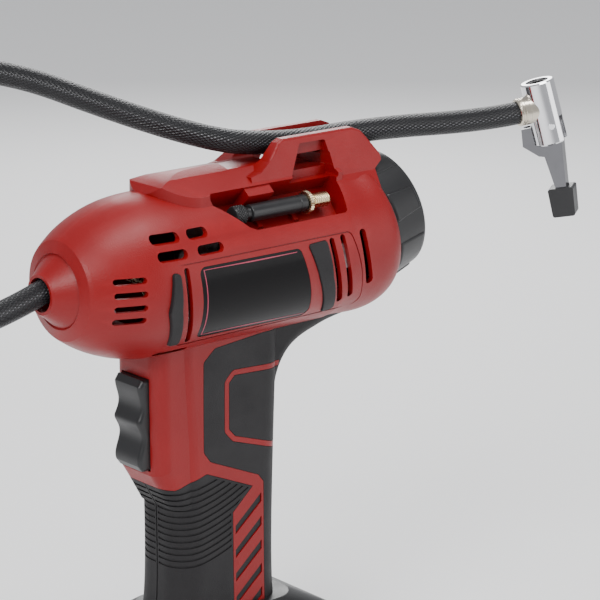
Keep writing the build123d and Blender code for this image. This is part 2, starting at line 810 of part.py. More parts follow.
with BuildPart() as gauge_needle:
    needle_plane = Plane(GAUGE.location * Rot(0, 0, NEEDLE_ZERO))
    with BuildSketch(needle_plane.offset(DIAL_AT + 1.6)):
        with BuildLine():
            Polyline((-0.9, -7.0), (0.9, -7.0), (0.35, 21.0), (-0.35, 21.0), close=True)
        make_face()
        Circle(2.6)
    extrude(amount=0.8)
    with BuildSketch(needle_plane.offset(DIAL_AT - 1.5)):
        Circle(0.95)
    extrude(amount=3.4)
save(gauge_needle, "gauge_needle")

with BuildPart() as gauge_lens:
    with BuildSketch(GAUGE.offset(DIAL_AT + 5.1)):
        Circle(GAUGE_CASE_R)
    extrude(amount=1.8)
save(gauge_lens, "gauge_lens")


# ---------------------------------------------------------------- motor and pump
def on_axis(x, z):
    """Cross-section plane centred on a shaft at a height over the barrel's axis."""
    return Plane(origin=(x, 0, AXIS_Z + z), x_dir=(0, 1, 0), z_dir=(1, 0, 0))


def gear_outline(teeth, module, first_tooth):
    """Toothed disc: trapezoid teeth on the root circle, thin enough to run in mesh."""
    pitch_r = teeth * module / 2
    root_r = pitch_r - 1.25 * module
    tip_r = pitch_r + 0.9 * module
    step = 2 * pi / teeth
    with BuildSketch(mode=Mode.PRIVATE) as outline:
        Circle(root_r)
        for number in range(teeth):
            middle = radians(first_tooth) + number * step
            with BuildLine():
                Polyline(
                    *[
                        (radius * cos(middle + side_of), radius * sin(middle + side_of))
                        for radius, side_of in (
                            (root_r - 0.3, -0.30 * step), (pitch_r, -0.215 * step), (tip_r, -0.10 * step),
                            (tip_r, 0.10 * step), (pitch_r, 0.215 * step), (root_r - 0.3, 0.30 * step),
                        )
                    ],
                    close=True,
                )
            make_face()
    return outline.sketch


with BuildPart() as pump_frame:
    with BuildSketch(cross(0.0)):
        Circle(BARREL_R - WALL - 0.2)
        with Locations((0, MOTOR_Z)):
            Circle(7.1, mode=Mode.SUBTRACT)
        with Locations((0, CRANK_Z)):
            Circle(3.0, mode=Mode.SUBTRACT)
        for spot in ((25.0, 8.0), (22.0, -18.0), (-25.0, -6.0), (-15.0, -28.0), (15.0, 27.0)):
            with Locations(spot):
                Circle(4.2, mode=Mode.SUBTRACT)
    extrude(amount=4.0)
    with BuildSketch(level(-36.0)):
        with Locations((PUMP_X / 2 - 7.0, 0)):
            Rectangle(-PUMP_X + 14.0, 30.0)
    extrude(amount=12.0)
    with BuildSketch(level(-36.0)):
        with Locations((PUMP_X, 0)):
            Circle(CYLINDER_R + 2.0)
    extrude(amount=12.0, mode=Mode.SUBTRACT)
    add(make_bay(2.4), mode=Mode.SUBTRACT)
    add(make_barrel(WALL + 0.2) + make_grip(WALL + 0.2), mode=Mode.INTERSECT)
save(pump_frame, "pump_frame")

with BuildPart() as motor_can:
    with BuildSketch(on_axis(4.0, MOTOR_Z)):
        Circle(MOTOR_R)
    extrude(amount=50.0)
    fillet(motor_can.edges().sort_by(Axis.X)[0], 1.5)
    with BuildSketch(on_axis(0.0, MOTOR_Z)):
        Circle(7.0)
    extrude(amount=4.5)
    with BuildSketch(on_axis(5.5, MOTOR_Z)):
        Circle(MOTOR_R - 1.4)
    extrude(amount=50.0, mode=Mode.SUBTRACT)
    with BuildSketch(on_axis(-1.0, MOTOR_Z)):
        Circle(4.0)
    extrude(amount=10.0, mode=Mode.SUBTRACT)
save(motor_can, "motor_can")

with BuildPart() as motor_magnets:
    with BuildSketch(on_axis(12.0, MOTOR_Z)):
        Circle(MOTOR_R - 1.4)
        Circle(MOTOR_R - 4.6, mode=Mode.SUBTRACT)
        Rectangle(50.0, 9.0, mode=Mode.SUBTRACT)
    extrude(amount=30.0)
save(motor_magnets, "motor_magnets")

with BuildPart() as motor_end_cap:
    with BuildSketch(on_axis(54.0, MOTOR_Z)):
        Circle(MOTOR_R)
    extrude(amount=3.5)
    with BuildSketch(on_axis(50.0, MOTOR_Z)):
        Circle(MOTOR_R - 1.4)
    extrude(amount=4.0)
    with BuildSketch(on_axis(50.0, MOTOR_Z)):
        Circle(4.0)
        with PolarLocations(11.0, 4, start_angle=45.0):
            Circle(2.6)
    extrude(amount=8.0, mode=Mode.SUBTRACT)
save(motor_end_cap, "motor_end_cap")

for x, name in ((0.5, "motor_bearing_front"), (53.0, "motor_bearing_rear")):
    with BuildPart() as motor_bearing:
        with BuildSketch(on_axis(x, MOTOR_Z)):
            Circle(4.0)
            Circle(SHAFT_R + 0.03, mode=Mode.SUBTRACT)
        extrude(amount=4.0)
    save(motor_bearing, name)

with BuildPart() as rotor:
    with BuildSketch(on_axis(-11.0, MOTOR_Z)):
        Circle(SHAFT_R)
    extrude(amount=77.0)
    with BuildSketch(on_axis(13.0, MOTOR_Z)):
        Circle(12.6)
        with PolarLocations(10.6, 5):
            Rectangle(5.0, 1.8, mode=Mode.SUBTRACT)
    extrude(amount=27.0)
    with BuildSketch(on_axis(41.0, MOTOR_Z)):
        Circle(5.5)
    extrude(amount=8.5)
save(rotor, "rotor")

with BuildPart() as motor_pinion:
    with BuildSketch(on_axis(-9.5, MOTOR_Z)):
        add(gear_outline(PINION_TEETH, GEAR_MODULE, 90.0 + 180.0 / PINION_TEETH))
        Circle(SHAFT_R, mode=Mode.SUBTRACT)
    extrude(amount=6.0)
save(motor_pinion, "motor_pinion")

with BuildPart() as cooling_fan:
    with BuildSketch(on_axis(58.3, MOTOR_Z)):
        Circle(5.0)
    extrude(amount=6.4)
    with BuildSketch(on_axis(58.3, MOTOR_Z)):
        Circle(19.0)
    extrude(amount=1.2)
    with BuildSketch(on_axis(59.3, MOTOR_Z)):
        with PolarLocations(11.5, 9):
            Rectangle(15.0, 1.2, rotation=12.0)
    extrude(amount=5.2)
    with BuildSketch(on_axis(58.0, MOTOR_Z)):
        Circle(SHAFT_R)
    extrude(amount=10.0, mode=Mode.SUBTRACT)
save(cooling_fan, "cooling_fan")

with BuildPart() as motor_bracket:
    with BuildSketch(cross(47.0)):
        Rectangle(80.0, 13.0)
        with Locations((0, MOTOR_Z)):
            Circle(MOTOR_R + 3.0)
            Circle(MOTOR_R, mode=Mode.SUBTRACT)
    extrude(amount=4.0)
    with BuildSketch(cross(46.0)):
        Circle(BARREL_R - WALL - 0.2)
    extrude(amount=6.0, mode=Mode.INTERSECT)
    add(make_bay(2.4), mode=Mode.SUBTRACT)
save(motor_bracket, "motor_bracket")

with BuildPart() as crank_axle:
    with BuildSketch(on_axis(-11.2, CRANK_Z)):
        Circle(3.0)
    extrude(amount=15.2)
save(crank_axle, "crank_axle")

with BuildPart() as crank_gear:
    with BuildSketch(on_axis(-9.5, CRANK_Z)):
        add(gear_outline(GEAR_TEETH, GEAR_MODULE, -90.0))
        Circle(3.05, mode=Mode.SUBTRACT)
        with PolarLocations(11.5, 3, start_angle=60.0):
            Circle(2.6, mode=Mode.SUBTRACT)
    extrude(amount=6.0)
save(crank_gear, "crank_gear")

with BuildPart() as crank_pin:
    with BuildSketch(on_axis(-15.4, CRANK_Z - CRANK_THROW)):
        Circle(2.5)
    extrude(amount=5.9)
save(crank_pin, "crank_pin")

with BuildPart() as connecting_rod:
    with BuildSketch(cross(PUMP_X - 3.0)):
        with Locations((0, CRANK_Z - CRANK_THROW)):
            Circle(5.2)
        with Locations((0, WRIST_Z)):
            Circle(3.9)
        with Locations((0, (CRANK_Z - CRANK_THROW + WRIST_Z) / 2)):
            Rectangle(4.6, CRANK_Z - CRANK_THROW - WRIST_Z)
        with Locations((0, CRANK_Z - CRANK_THROW)):
            Circle(2.6, mode=Mode.SUBTRACT)
        with Locations((0, WRIST_Z)):
            Circle(2.04, mode=Mode.SUBTRACT)
    extrude(amount=6.0)
save(connecting_rod, "connecting_rod")

with BuildPart() as piston:
    with BuildSketch(level(-42.6)):
        with Locations((PUMP_X, 0)):
            Circle(CYLINDER_R - 0.08)
    extrude(amount=11.6)
    with BuildSketch(level(-41.4)):
        with Locations((PUMP_X, 0)):
            Circle(CYLINDER_R + 1.0)
            Circle(CYLINDER_R - 1.1, mode=Mode.SUBTRACT)
    extrude(amount=1.6, mode=Mode.SUBTRACT)
    with BuildSketch(level(-40.2)):
        with Locations((PUMP_X, 0)):
            RectangleRounded(6.8, 15.0, 2.0)
    extrude(amount=10.0, mode=Mode.SUBTRACT)
    with BuildSketch(level(-33.8)):
        with Locations((PUMP_X + 11.2, 0)):
            Rectangle(4.0, 24.0)
    extrude(amount=4.0, mode=Mode.SUBTRACT)
    with BuildSketch(on_axis(PUMP_X - 9.6, WRIST_Z)):
        Circle(2.0)
    extrude(amount=19.2, mode=Mode.SUBTRACT)
save(piston, "piston")

with BuildPart() as piston_ring:
    with BuildSketch(level(-41.4)):
        with Locations((PUMP_X, 0)):
            Circle(CYLINDER_R - 0.04)
            Circle(CYLINDER_R - 1.1, mode=Mode.SUBTRACT)
    extrude(amount=1.6)
save(piston_ring, "piston_ring")

with BuildPart() as wrist_pin:
    with BuildSketch(on_axis(PUMP_X - 9.5, WRIST_Z)):
        Circle(2.0)
    extrude(amount=19.0)
save(wrist_pin, "wrist_pin")

HEAD_SCREWS = [(PUMP_X + dx, dy) for dx in (-11.0, 11.0) for dy in (-11.0, 11.0)]

with BuildPart() as cylinder:
    with BuildSketch(level(-43.6)):
        with Locations((PUMP_X, 0)):
            Circle(CYLINDER_R + 2.0)
    extrude(amount=22.6)
    with BuildSketch(level(-43.6)):
        with Locations((PUMP_X, 0)):
            RectangleRounded(27.0, 27.0, 3.0)
    extrude(amount=3.0)
    with BuildSketch(level(-43.6)):
        with Locations((PUMP_X, 0)):
            Circle(CYLINDER_R)
        with Locations(*HEAD_SCREWS):
            Circle(1.25)
    extrude(amount=30.0, mode=Mode.SUBTRACT)
save(cylinder, "cylinder")

with BuildPart() as valve_plate:
    with BuildSketch(level(-45.6)):
        with Locations((PUMP_X, 0)):
            RectangleRounded(27.0, 27.0, 3.0)
        with Locations(*HEAD_SCREWS):
            Circle(1.25, mode=Mode.SUBTRACT)
        with Locations((PUMP_X - 4.0, 0), (PUMP_X + 4.0, 0)):
            Circle(1.2, mode=Mode.SUBTRACT)
    extrude(amount=2.0)
save(valve_plate, "valve_plate")

with BuildPart() as cylinder_head:
    with BuildSketch(level(-56.0)):
        with Locations((PUMP_X, 0)):
            RectangleRounded(27.0, 27.0, 3.0)
    extrude(amount=10.4)
    for number in range(3):
        with BuildSketch(level(-56.0)):
            with Locations((PUMP_X - 6.0 + 6.0 * number, 0)):
                Rectangle(2.0, 30.0)
        extrude(amount=3.5, mode=Mode.SUBTRACT)
    with BuildSketch(level(-49.6)):
        with Locations((PUMP_X, 0)):
            Rectangle(14.0, 8.0)
    extrude(amount=4.0, mode=Mode.SUBTRACT)
    with BuildSketch(level(-56.0)):
        with Locations(*HEAD_SCREWS):
            Circle(1.25)
    extrude(amount=10.4, mode=Mode.SUBTRACT)
save(cylinder_head, "cylinder_head")

with BuildPart() as head_screws:
    with BuildSketch(level(-56.0)):
        with Locations(*HEAD_SCREWS):
            Circle(1.25)
    extrude(amount=15.4)
    with BuildSketch(level(-57.6)):
        with Locations(*HEAD_SCREWS):
            Circle(2.3)
    extrude(amount=1.6)
save(head_screws, "head_screws")
# ---------------------------------------------------------------- trigger and switch
SWITCH_Z = -75.5          # height of the trigger's guide pin

with BuildPart() as switch_block:
    with BuildSketch(level(SWITCH_Z - 18.0)):
        with Locations((-25.0, 0)):
            RectangleRounded(16.0, 20.0, 1.5)
    extrude(amount=26.0)
    with BuildSketch(level(SWITCH_Z - 22.0)):
        with Locations((-22.0, 5.0), (-22.0, -5.0)):
            Rectangle(5.0, 1.0)
    extrude(amount=4.5)
save(switch_block, "switch_block")

TRIGGER_FACE = [          # finger scallops: how far the face stands out, and height over its lower end
    (-58.9, 3.0), (-59.3, 6.0), (-57.6, 12.2), (-56.6, 17.2), (-58.6, 22.4), (-59.6, 25.0), (-58.4, 28.0),
    (-57.0, 33.2), (-58.4, 39.4), (-59.0, 43.2),
]

with BuildPart() as trigger:
    with BuildSketch(side()):
        with BuildLine():
            face_points = [(x, TRIGGER_BOTTOM + z) for x, z in TRIGGER_FACE]
            Polyline((-49.0, TRIGGER_BOTTOM), (-56.6, TRIGGER_BOTTOM), face_points[0])
            Spline(*face_points)
            Polyline(face_points[-1], (-56.8, TRIGGER_TOP), (-49.0, TRIGGER_TOP), (-49.0, TRIGGER_BOTTOM))
        make_face()
    extrude(amount=TRIGGER_HALF_W, both=True)
    nose_edges = trigger.edges().filter_by(
        lambda e: e.center().X < -52.5 and abs(e.center().Y) > TRIGGER_HALF_W - 0.1
    )
    fillet(nose_edges, 2.2)
    with BuildSketch(level(TRIGGER_BOTTOM - 1.8)):
        with Locations((-48.25, 0)):
            Rectangle(2.5, 2 * TRIGGER_HALF_W + 2.8)
            fillet(vertices().group_by(Axis.X)[0], 2.0)
    extrude(amount=TRIGGER_TOP - TRIGGER_BOTTOM + 4.2)
    with BuildSketch(level(SWITCH_Z - 10.0)):
        with Locations((-45.6, 0)):
            Rectangle(3.2, 16.0)
    extrude(amount=20.0)
    with BuildSketch(Plane(origin=(-45.0, 0, AXIS_Z + SWITCH_Z), z_dir=(1, 0, 0))):
        Circle(2.5)
    extrude(amount=5.5)
save(trigger, "trigger")

with BuildPart() as trigger_spring:
    with BuildSketch(Plane(origin=(-44.0, 0, AXIS_Z + SWITCH_Z), z_dir=(1, 0, 0))):
        Circle(4.0)
        Circle(2.9, mode=Mode.SUBTRACT)
    extrude(amount=11.0)
save(trigger_spring, "trigger_spring")


# ---------------------------------------------------------------- battery shoe and battery
def foot(z):
    """A level plane of the shoe and battery, at a datum height."""
    return level(z - FOOT_DROP)


def pack_outline(front, rear, half_w, corner):
    """Rounded rectangle in plan, private to the sketch that adds it."""
    with BuildSketch(mode=Mode.PRIVATE) as outline:
        with Locations(((front + rear) / 2, 0)):
            RectangleRounded(rear - front, 2 * half_w, corner)
    return outline.sketch


LATCH_TEETH = ((-41.2, -31.2), (-41.2, 31.2))
CONTACT_Y = (-8.0, 0.0, 8.0)

with BuildPart() as battery_shoe:
    with BuildSketch(foot(SHOE_BOTTOM)):
        add(pack_outline(-50.0, 48.0, 35.0, 8.0))
    extrude(amount=9.5)
    with BuildSketch(foot(SHOE_BOTTOM + 9.5)):
        add(pack_outline(-50.0, 48.0, 35.0, 8.0))
    with BuildSketch(foot(-160.0)):
        add(pack_outline(-44.6, 32.0, 24.0, 14.0))
    loft()
    fillet(battery_shoe.edges().group_by(Axis.Z)[-1], 1.4)
    add(make_grip(0), mode=Mode.SUBTRACT)
    with BuildSketch(foot(SHOE_BOTTOM)):
        with Locations((-5.0, 0)):
            Rectangle(90.2, 44.0)
    extrude(amount=11.8, mode=Mode.SUBTRACT)
    with BuildSketch(foot(-174.0)):
        with Locations((-5.0, 0)):
            Rectangle(90.2, 54.0)
    extrude(amount=7.8, mode=Mode.SUBTRACT)
    with BuildSketch(foot(SHOE_BOTTOM)):
        with Locations(*LATCH_TEETH):
            Rectangle(6.4, 6.4)
    extrude(amount=3.2, mode=Mode.SUBTRACT)
save(battery_shoe, "battery_shoe")

with BuildPart() as terminal_block:
    with BuildSketch(foot(-172.0)):
        with Locations((26.0, 0)):
            Rectangle(27.6, 28.0)
    extrude(amount=5.8)
    with BuildSketch(foot(-171.0)):
        with Locations(*[(13.6, y) for y in CONTACT_Y]):
            Rectangle(5.0, 0.8)
    extrude(amount=3.0, mode=Mode.SUBTRACT)
save(terminal_block, "terminal_block")

with BuildPart() as contact_blades:
    with BuildSketch(foot(-171.0)):
        with Locations(*[(10.1, y) for y in CONTACT_Y]):
            Rectangle(12.0, 0.8)
    extrude(amount=3.0)
save(contact_blades, "contact_blades")

with BuildPart() as battery_case_lower:
    with BuildSketch(level(-AXIS_Z)):
        add(pack_outline(-56.0, 50.0, 38.0, 10.0))
    extrude(amount=28.0)
    fillet(battery_case_lower.edges().group_by(Axis.Z)[0], 2.0)
    with BuildSketch(level(-AXIS_Z + 2.4)):
        add(pack_outline(-53.6, 47.6, 35.6, 7.6))
    extrude(amount=30.0, mode=Mode.SUBTRACT)
    with BuildSketch(level(-AXIS_Z + 2.0)):
        with Locations((-3.0, 20.0), (-3.0, -20.0)):
            Rectangle(96.0, 2.0)
    extrude(amount=5.9)
    for number in range(5):
        with BuildSketch(level(-AXIS_Z)):
            with Locations((-41.4 + 19.2 * number, 37.0), (-41.4 + 19.2 * number, -37.0)):
                Rectangle(4.0, 3.0)
        extrude(amount=22.0)
    with BuildSketch(level(-AXIS_Z)):
        add(pack_outline(-56.0, 50.0, 38.0, 10.0))
    extrude(amount=28.0, mode=Mode.INTERSECT)
save(battery_case_lower, "battery_case_lower")

with BuildPart() as battery_case_upper:
    with BuildSketch(foot(-198.0)):
        add(pack_outline(-56.0, 50.0, 38.0, 10.0))
    extrude(amount=198.0 + BATTERY_TOP)
    fillet(battery_case_upper.edges().group_by(Axis.Z)[-1], 1.5)
    with BuildSketch(foot(-198.0)):
        add(pack_outline(-53.6, 47.6, 35.6, 7.6))
    extrude(amount=198.0 + BATTERY_TOP - 2.6, mode=Mode.SUBTRACT)
    with BuildSketch(foot(BATTERY_TOP)):
        with Locations((-5.3, 0)):
            Rectangle(89.4, 43.2)
    extrude(amount=5.0)
    with BuildSketch(foot(-173.6)):
        with Locations((-5.3, 0)):
            Rectangle(89.4, 53.2)
    extrude(amount=7.0)
    with BuildSketch(foot(-173.0)):
        with Locations((25.5, 0)):
            Rectangle(30.0, 32.0)
    extrude(amount=7.0, mode=Mode.SUBTRACT)
    with BuildSketch(foot(-171.6)):
        with Locations(*[(7.0, y) for y in CONTACT_Y]):
            Rectangle(8.0, 1.8)
    extrude(amount=4.2, mode=Mode.SUBTRACT)
    with BuildSketch(foot(-184.0)):
        with Locations(*LATCH_TEETH):
            Rectangle(6.4, 6.4)
    extrude(amount=10.0, mode=Mode.SUBTRACT)
    with BuildSketch(Plane(origin=(-57.0, 0, AXIS_Z - 188.0 - FOOT_DROP), x_dir=(0, 1, 0), z_dir=(1, 0, 0))):
        RectangleRounded(27.0, 17.0, 1.0)
    extrude(amount=5.0, mode=Mode.SUBTRACT)
save(battery_case_upper, "battery_case_upper")

with BuildPart() as battery_cells:
    with BuildSketch(side(32.5)):
        with Locations(*[(-41.4 + 19.2 * number, -209.0 - FOOT_DROP) for number in range(5)]):
            Circle(9.1)
    extrude(amount=65.0)
save(battery_cells, "battery_cells")

with BuildPart() as cell_holder:
    with BuildSketch(foot(-199.9)):
        with Locations((-3.0, 0)):
            RectangleRounded(98.0, 66.0, 4.0)
            Rectangle(60.0, 30.0, mode=Mode.SUBTRACT)
    extrude(amount=2.0)
save(cell_holder, "cell_holder")

with BuildPart() as battery_latch:
    with BuildSketch(foot(-191.5)):
        with Locations((-55.2, 0)):
            Rectangle(4.0, 26.0)
            fillet(vertices().group_by(Axis.X)[0], 1.2)
    extrude(amount=10.4)
    for number in range(3):
        with BuildSketch(foot(-189.5 + 3.0 * number)):
            with Locations((-57.4, 0)):
                Rectangle(1.2, 20.0)
        extrude(amount=1.0)
    with BuildSketch(foot(-188.5)):
        with Locations((-48.0, 0)):
            Rectangle(11.0, 24.0)
        with Locations((-41.2, 0)):
            Rectangle(6.0, 67.0)
    extrude(amount=3.5)
    with BuildSketch(foot(-186.0)):
        with Locations(*LATCH_TEETH):
            Rectangle(5.8, 5.0)
    extrude(amount=10.6)
save(battery_latch, "battery_latch")

with BuildPart() as latch_spring:
    with BuildSketch(foot(-197.9)):
        with Locations((-44.0, 0)):
            Circle(3.4)
            Circle(2.5, mode=Mode.SUBTRACT)
    extrude(amount=9.4)
save(latch_spring, "latch_spring")

# ---------------------------------------------------------------- stored adapters
ADAPTER = Plane(origin=BAY.origin + BAY.z_dir * ADAPTER_LIFT, x_dir=BAY.y_dir, z_dir=(1, 0, 0))

with BuildPart() as nozzle_adapter:
    for start, end, radius in ((-13.0, -5.5, 4.9), (-5.5, -2.0, 3.1), (-2.0, 33.0, ADAPTER_R)):
        with BuildSketch(ADAPTER.offset(start)):
            Circle(radius)
        extrude(amount=end - start)
    chamfer(nozzle_adapter.edges().sort_by(Axis.X)[0], 1.1)
    for start in (-10.8, -8.0):
        with BuildSketch(ADAPTER.offset(start)):
            Circle(5.2)
            Circle(4.5, mode=Mode.SUBTRACT)
        extrude(amount=0.9, mode=Mode.SUBTRACT)
    with BuildSketch(ADAPTER.offset(4.0)):
        Circle(2.6)
    extrude(amount=30.0, mode=Mode.SUBTRACT)
    with BuildSketch(ADAPTER.offset(-18.0)):
        Circle(1.6)
    extrude(amount=23.0, mode=Mode.SUBTRACT)
save(nozzle_adapter, "nozzle_adapter")

with BuildPart() as needle_adapter:
    with BuildSketch(ADAPTER.offset(33.3)):
        Circle(5.7)
    extrude(amount=3.2)
    with BuildSketch(ADAPTER.offset(36.5)):
        Circle(3.7)
    extrude(amount=11.0)
    with BuildSketch(ADAPTER.offset(8.0)):
        Circle(1.2)
    extrude(amount=26.0)
    with BuildSketch(ADAPTER.offset(31.0)):
        Circle(2.58)
    extrude(amount=2.5)
    with BuildSketch(ADAPTER.offset(38.0)):
        Circle(0.6)
    extrude(amount=10.0, mode=Mode.SUBTRACT)
save(needle_adapter, "needle_adapter")


# ---------------------------------------------------------------- air line and hose
HOSE_START = 14.0
AIR_TUBE_R = 2.6
FERRULE_LENGTH = 5.6

with BuildPart() as outlet_tube:
    with BuildLine() as tube_line:
        FilletPolyline(
            (-32.5, 0, AXIS_Z - 51.5), (-37.5, 0, AXIS_Z - 51.5), (-37.5, 0, AXIS_Z - 26.0),
            (-48.0, 0, AXIS_Z - 4.0), tuple(nose_point(34.0)), tuple(nose_point(20.0)),
            radius=[3.5, 12.0, 12.0, 12.0],
        )
    with BuildSketch(Plane(origin=tube_line.line @ 0, z_dir=tube_line.line % 0)):
        Circle(AIR_TUBE_R)
        Circle(AIR_TUBE_R - 1.0, mode=Mode.SUBTRACT)
    sweep()
save(outlet_tube, "outlet_tube")

with BuildPart() as hose_gland:
    with BuildSketch(Plane(origin=nose_point(5.0), z_dir=NOSE_DIR)):
        Circle(HOSE_D / 2 + GLAND_WALL)
    extrude(amount=15.0)
    with BuildSketch(Plane(origin=nose_point(4.0), z_dir=NOSE_DIR)):
        Circle(HOSE_D / 2)
    extrude(amount=HOSE_START - 4.0, mode=Mode.SUBTRACT)
    with BuildSketch(Plane(origin=nose_point(HOSE_START - 1.0), z_dir=NOSE_DIR)):
        Circle(1.6)
    extrude(amount=8.0, mode=Mode.SUBTRACT)
save(hose_gland, "hose_gland")


def over_axis(x, y, z):
    return Vector(x, y, AXIS_Z + z)


HOSE_END = CHUCK_ORIGIN - FERRULE_DIR * (CHUCK_R + FERRULE_LENGTH)
HOSE_ROUTE = [
    nose_point(HOSE_START),
    over_axis(-167.1, 0, -20.9),
    over_axis(-218.0, 51.4, 3.4),
    over_axis(-199.5, 103.6, 56.1),
    over_axis(-92.6, 107.6, 102.0),
    over_axis(-17.5, 0, 61.6),
    over_axis(38.0, 0, CLIP_FLOOR + HOSE_D / 2),
    over_axis(100.0, 0, CLIP_FLOOR + HOSE_D / 2 + 0.3),
    HOSE_END - FERRULE_DIR * 18.0,
    HOSE_END,
]
HOSE_RADII = [60.0, 60.0, 60.0, 70.0, 59.5, 180.0, 130.0, 59.0]

with BuildPart() as hose:
    with BuildLine() as hose_line:
        FilletPolyline(*[tuple(p) for p in HOSE_ROUTE], radius=HOSE_RADII)
    with BuildSketch(Plane(origin=hose_line.line @ 0, z_dir=hose_line.line % 0)):
        Circle(HOSE_D / 2)
    sweep()
save(hose, "hose")
print("hose length", round(sum(edge.length for edge in hose_line.line.edges()), 1))

# ---------------------------------------------------------------- valve chuck
SLOT_TOP = -5.4
SLOT_HALF_W = 4.1
PADDLE_TOP = -42.9


def chuck_profile(start=0.0):
    """Sketch plane across the chuck's slot: local x points to the knee's side, local y up the chuck."""
    return Plane(origin=CHUCK.from_local_coords((0, start, 0)), x_dir=CHUCK.x_dir, z_dir=-CHUCK.y_dir)


with BuildPart() as hose_ferrule:
    with BuildSketch(Plane(origin=HOSE_END, z_dir=FERRULE_DIR)):
        Circle(HOSE_D / 2 + 1.0)
    with BuildSketch(Plane(origin=HOSE_END + FERRULE_DIR * (FERRULE_LENGTH + CHUCK_R), z_dir=FERRULE_DIR)):
        Circle(HOSE_D / 2 + 1.5)
    loft()
    with BuildSketch(CHUCK.offset(CHUCK_BOTTOM)):
        Circle(CHUCK_R)
    extrude(amount=CHUCK_TOP - CHUCK_BOTTOM, mode=Mode.SUBTRACT)
    with BuildSketch(chuck_profile(-20.0)):
        with Locations((4.0, -12.0)):
            Rectangle(30.0, 8.4)
    extrude(amount=-40.0, mode=Mode.SUBTRACT)
save(hose_ferrule, "hose_ferrule")

with BuildPart() as chuck_body:
    with BuildSketch(CHUCK.offset(CHUCK_BOTTOM)):
        Circle(CHUCK_R)
    extrude(amount=CHUCK_TOP - CHUCK_BOTTOM)
    chamfer(chuck_body.edges().filter_by(GeomType.CIRCLE), 0.7)
    with BuildSketch(CHUCK.offset(CHUCK_TOP - 14.0)):
        Circle(4.2)
    extrude(amount=15.0, mode=Mode.SUBTRACT)
    with BuildSketch(CHUCK.offset(CHUCK_TOP - 5.0)):
        Circle(6.0)
    extrude(amount=6.0, mode=Mode.SUBTRACT)
    with BuildSketch(CHUCK.offset(CHUCK_BOTTOM - 1.0)):
        Rectangle(2 * CHUCK_R + 4.0, 2 * SLOT_HALF_W)
    extrude(amount=SLOT_TOP - CHUCK_BOTTOM + 1.0, mode=Mode.SUBTRACT)
    with BuildSketch(chuck_profile()):
        with Locations(LEVER_PIVOT):
            Circle(1.5)
    extrude(amount=12.0, both=True, mode=Mode.SUBTRACT)
save(chuck_body, "chuck_body")

with BuildPart() as chuck_seal:
    with BuildSketch(CHUCK.offset(CHUCK_TOP - 5.0)):
        Circle(6.0)
        Circle(3.9, mode=Mode.SUBTRACT)
    extrude(amount=4.2)
save(chuck_seal, "chuck_seal")

with BuildPart() as lever_pin:
    with BuildSketch(chuck_profile()):
        with Locations(LEVER_PIVOT):
            Circle(1.5)
    extrude(amount=8.4, both=True)
save(lever_pin, "lever_pin")

with BuildPart() as chuck_lever:
    with BuildSketch(chuck_profile()):
        with BuildLine():
            Polyline(
                (-6.6, -10.5), (-6.2, -19.0), (-5.2, -26.0), (-3.0, -42.1), (-2.0, PADDLE_TOP - 10.0),
                (3.4, PADDLE_TOP - 10.0), (3.0, -42.5), (4.6, -25.4), (7.4, -24.6), (14.6, -18.0), (13.2, -8.8),
                (3.0, -8.8), (-2.0, -7.4), close=True,
            )
        make_face()
        with Locations(LEVER_PIVOT):
            Circle(3.2)
    extrude(amount=LEVER_HALF_W, both=True)
    with BuildSketch(chuck_profile()):
        with BuildLine():
            Polyline((5.2, -8.0), (16.0, -8.0), (16.0, -19.0), (7.0, -27.0), (3.4, -22.0), close=True)
        make_face()
    extrude(amount=LEVER_HALF_W - 1.1, both=True, mode=Mode.SUBTRACT)
    with BuildSketch(chuck_profile()):
        with Locations(LEVER_PIVOT):
            Circle(1.54)
    extrude(amount=10.0, both=True, mode=Mode.SUBTRACT)
save(chuck_lever, "chuck_lever")

with BuildPart() as lever_grip:
    with BuildSketch(chuck_profile()):
        with BuildLine():
            Polyline((7.0, PADDLE_TOP + 0.3), (-6.5, PADDLE_TOP - 0.6), (-4.2, -58.8), (7.6, -58.0), close=True)
        make_face()
        fillet(vertices(), 1.2)
    extrude(amount=5.0, both=True)
    with BuildSketch(chuck_profile()):
        with BuildLine():
            Polyline(
                (-3.0, -42.1), (-2.0, PADDLE_TOP - 10.0), (3.4, PADDLE_TOP - 10.0), (3.0, -42.5), close=True,
            )
        make_face()
    extrude(amount=LEVER_HALF_W, both=True, mode=Mode.SUBTRACT)
save(lever_grip, "lever_grip")
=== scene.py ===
import json
import math

import bmesh
import bpy
from mathutils import Matrix, Vector


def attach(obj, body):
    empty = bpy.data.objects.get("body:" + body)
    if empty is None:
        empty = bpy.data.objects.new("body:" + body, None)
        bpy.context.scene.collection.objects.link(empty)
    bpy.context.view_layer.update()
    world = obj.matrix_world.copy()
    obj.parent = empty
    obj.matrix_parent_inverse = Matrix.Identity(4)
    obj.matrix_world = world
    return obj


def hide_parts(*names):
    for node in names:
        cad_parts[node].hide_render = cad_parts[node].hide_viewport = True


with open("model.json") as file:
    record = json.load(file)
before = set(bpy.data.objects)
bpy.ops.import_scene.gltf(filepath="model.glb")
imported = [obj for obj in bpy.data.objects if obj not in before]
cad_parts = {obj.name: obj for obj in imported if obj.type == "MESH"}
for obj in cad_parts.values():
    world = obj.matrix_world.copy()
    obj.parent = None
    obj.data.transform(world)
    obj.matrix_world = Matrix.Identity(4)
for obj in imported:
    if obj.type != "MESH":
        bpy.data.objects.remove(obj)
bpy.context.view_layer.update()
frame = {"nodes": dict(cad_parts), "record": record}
nodes = frame["nodes"]

MM = 0.001
AXIS_Z = 0.242            # height of the barrel's axis, in metres


def over_axis(x, y, z):
    """A point given in millimetres over the barrel's axis."""
    return Vector((x * MM, y * MM, AXIS_Z + z * MM))


# ---------------------------------------------------------------- camera and light
CAMERA_AT = Vector((-0.7552, -0.9113, 0.5474))
CAMERA_LENS = 149.6
SENSOR_WIDTH = 36.0

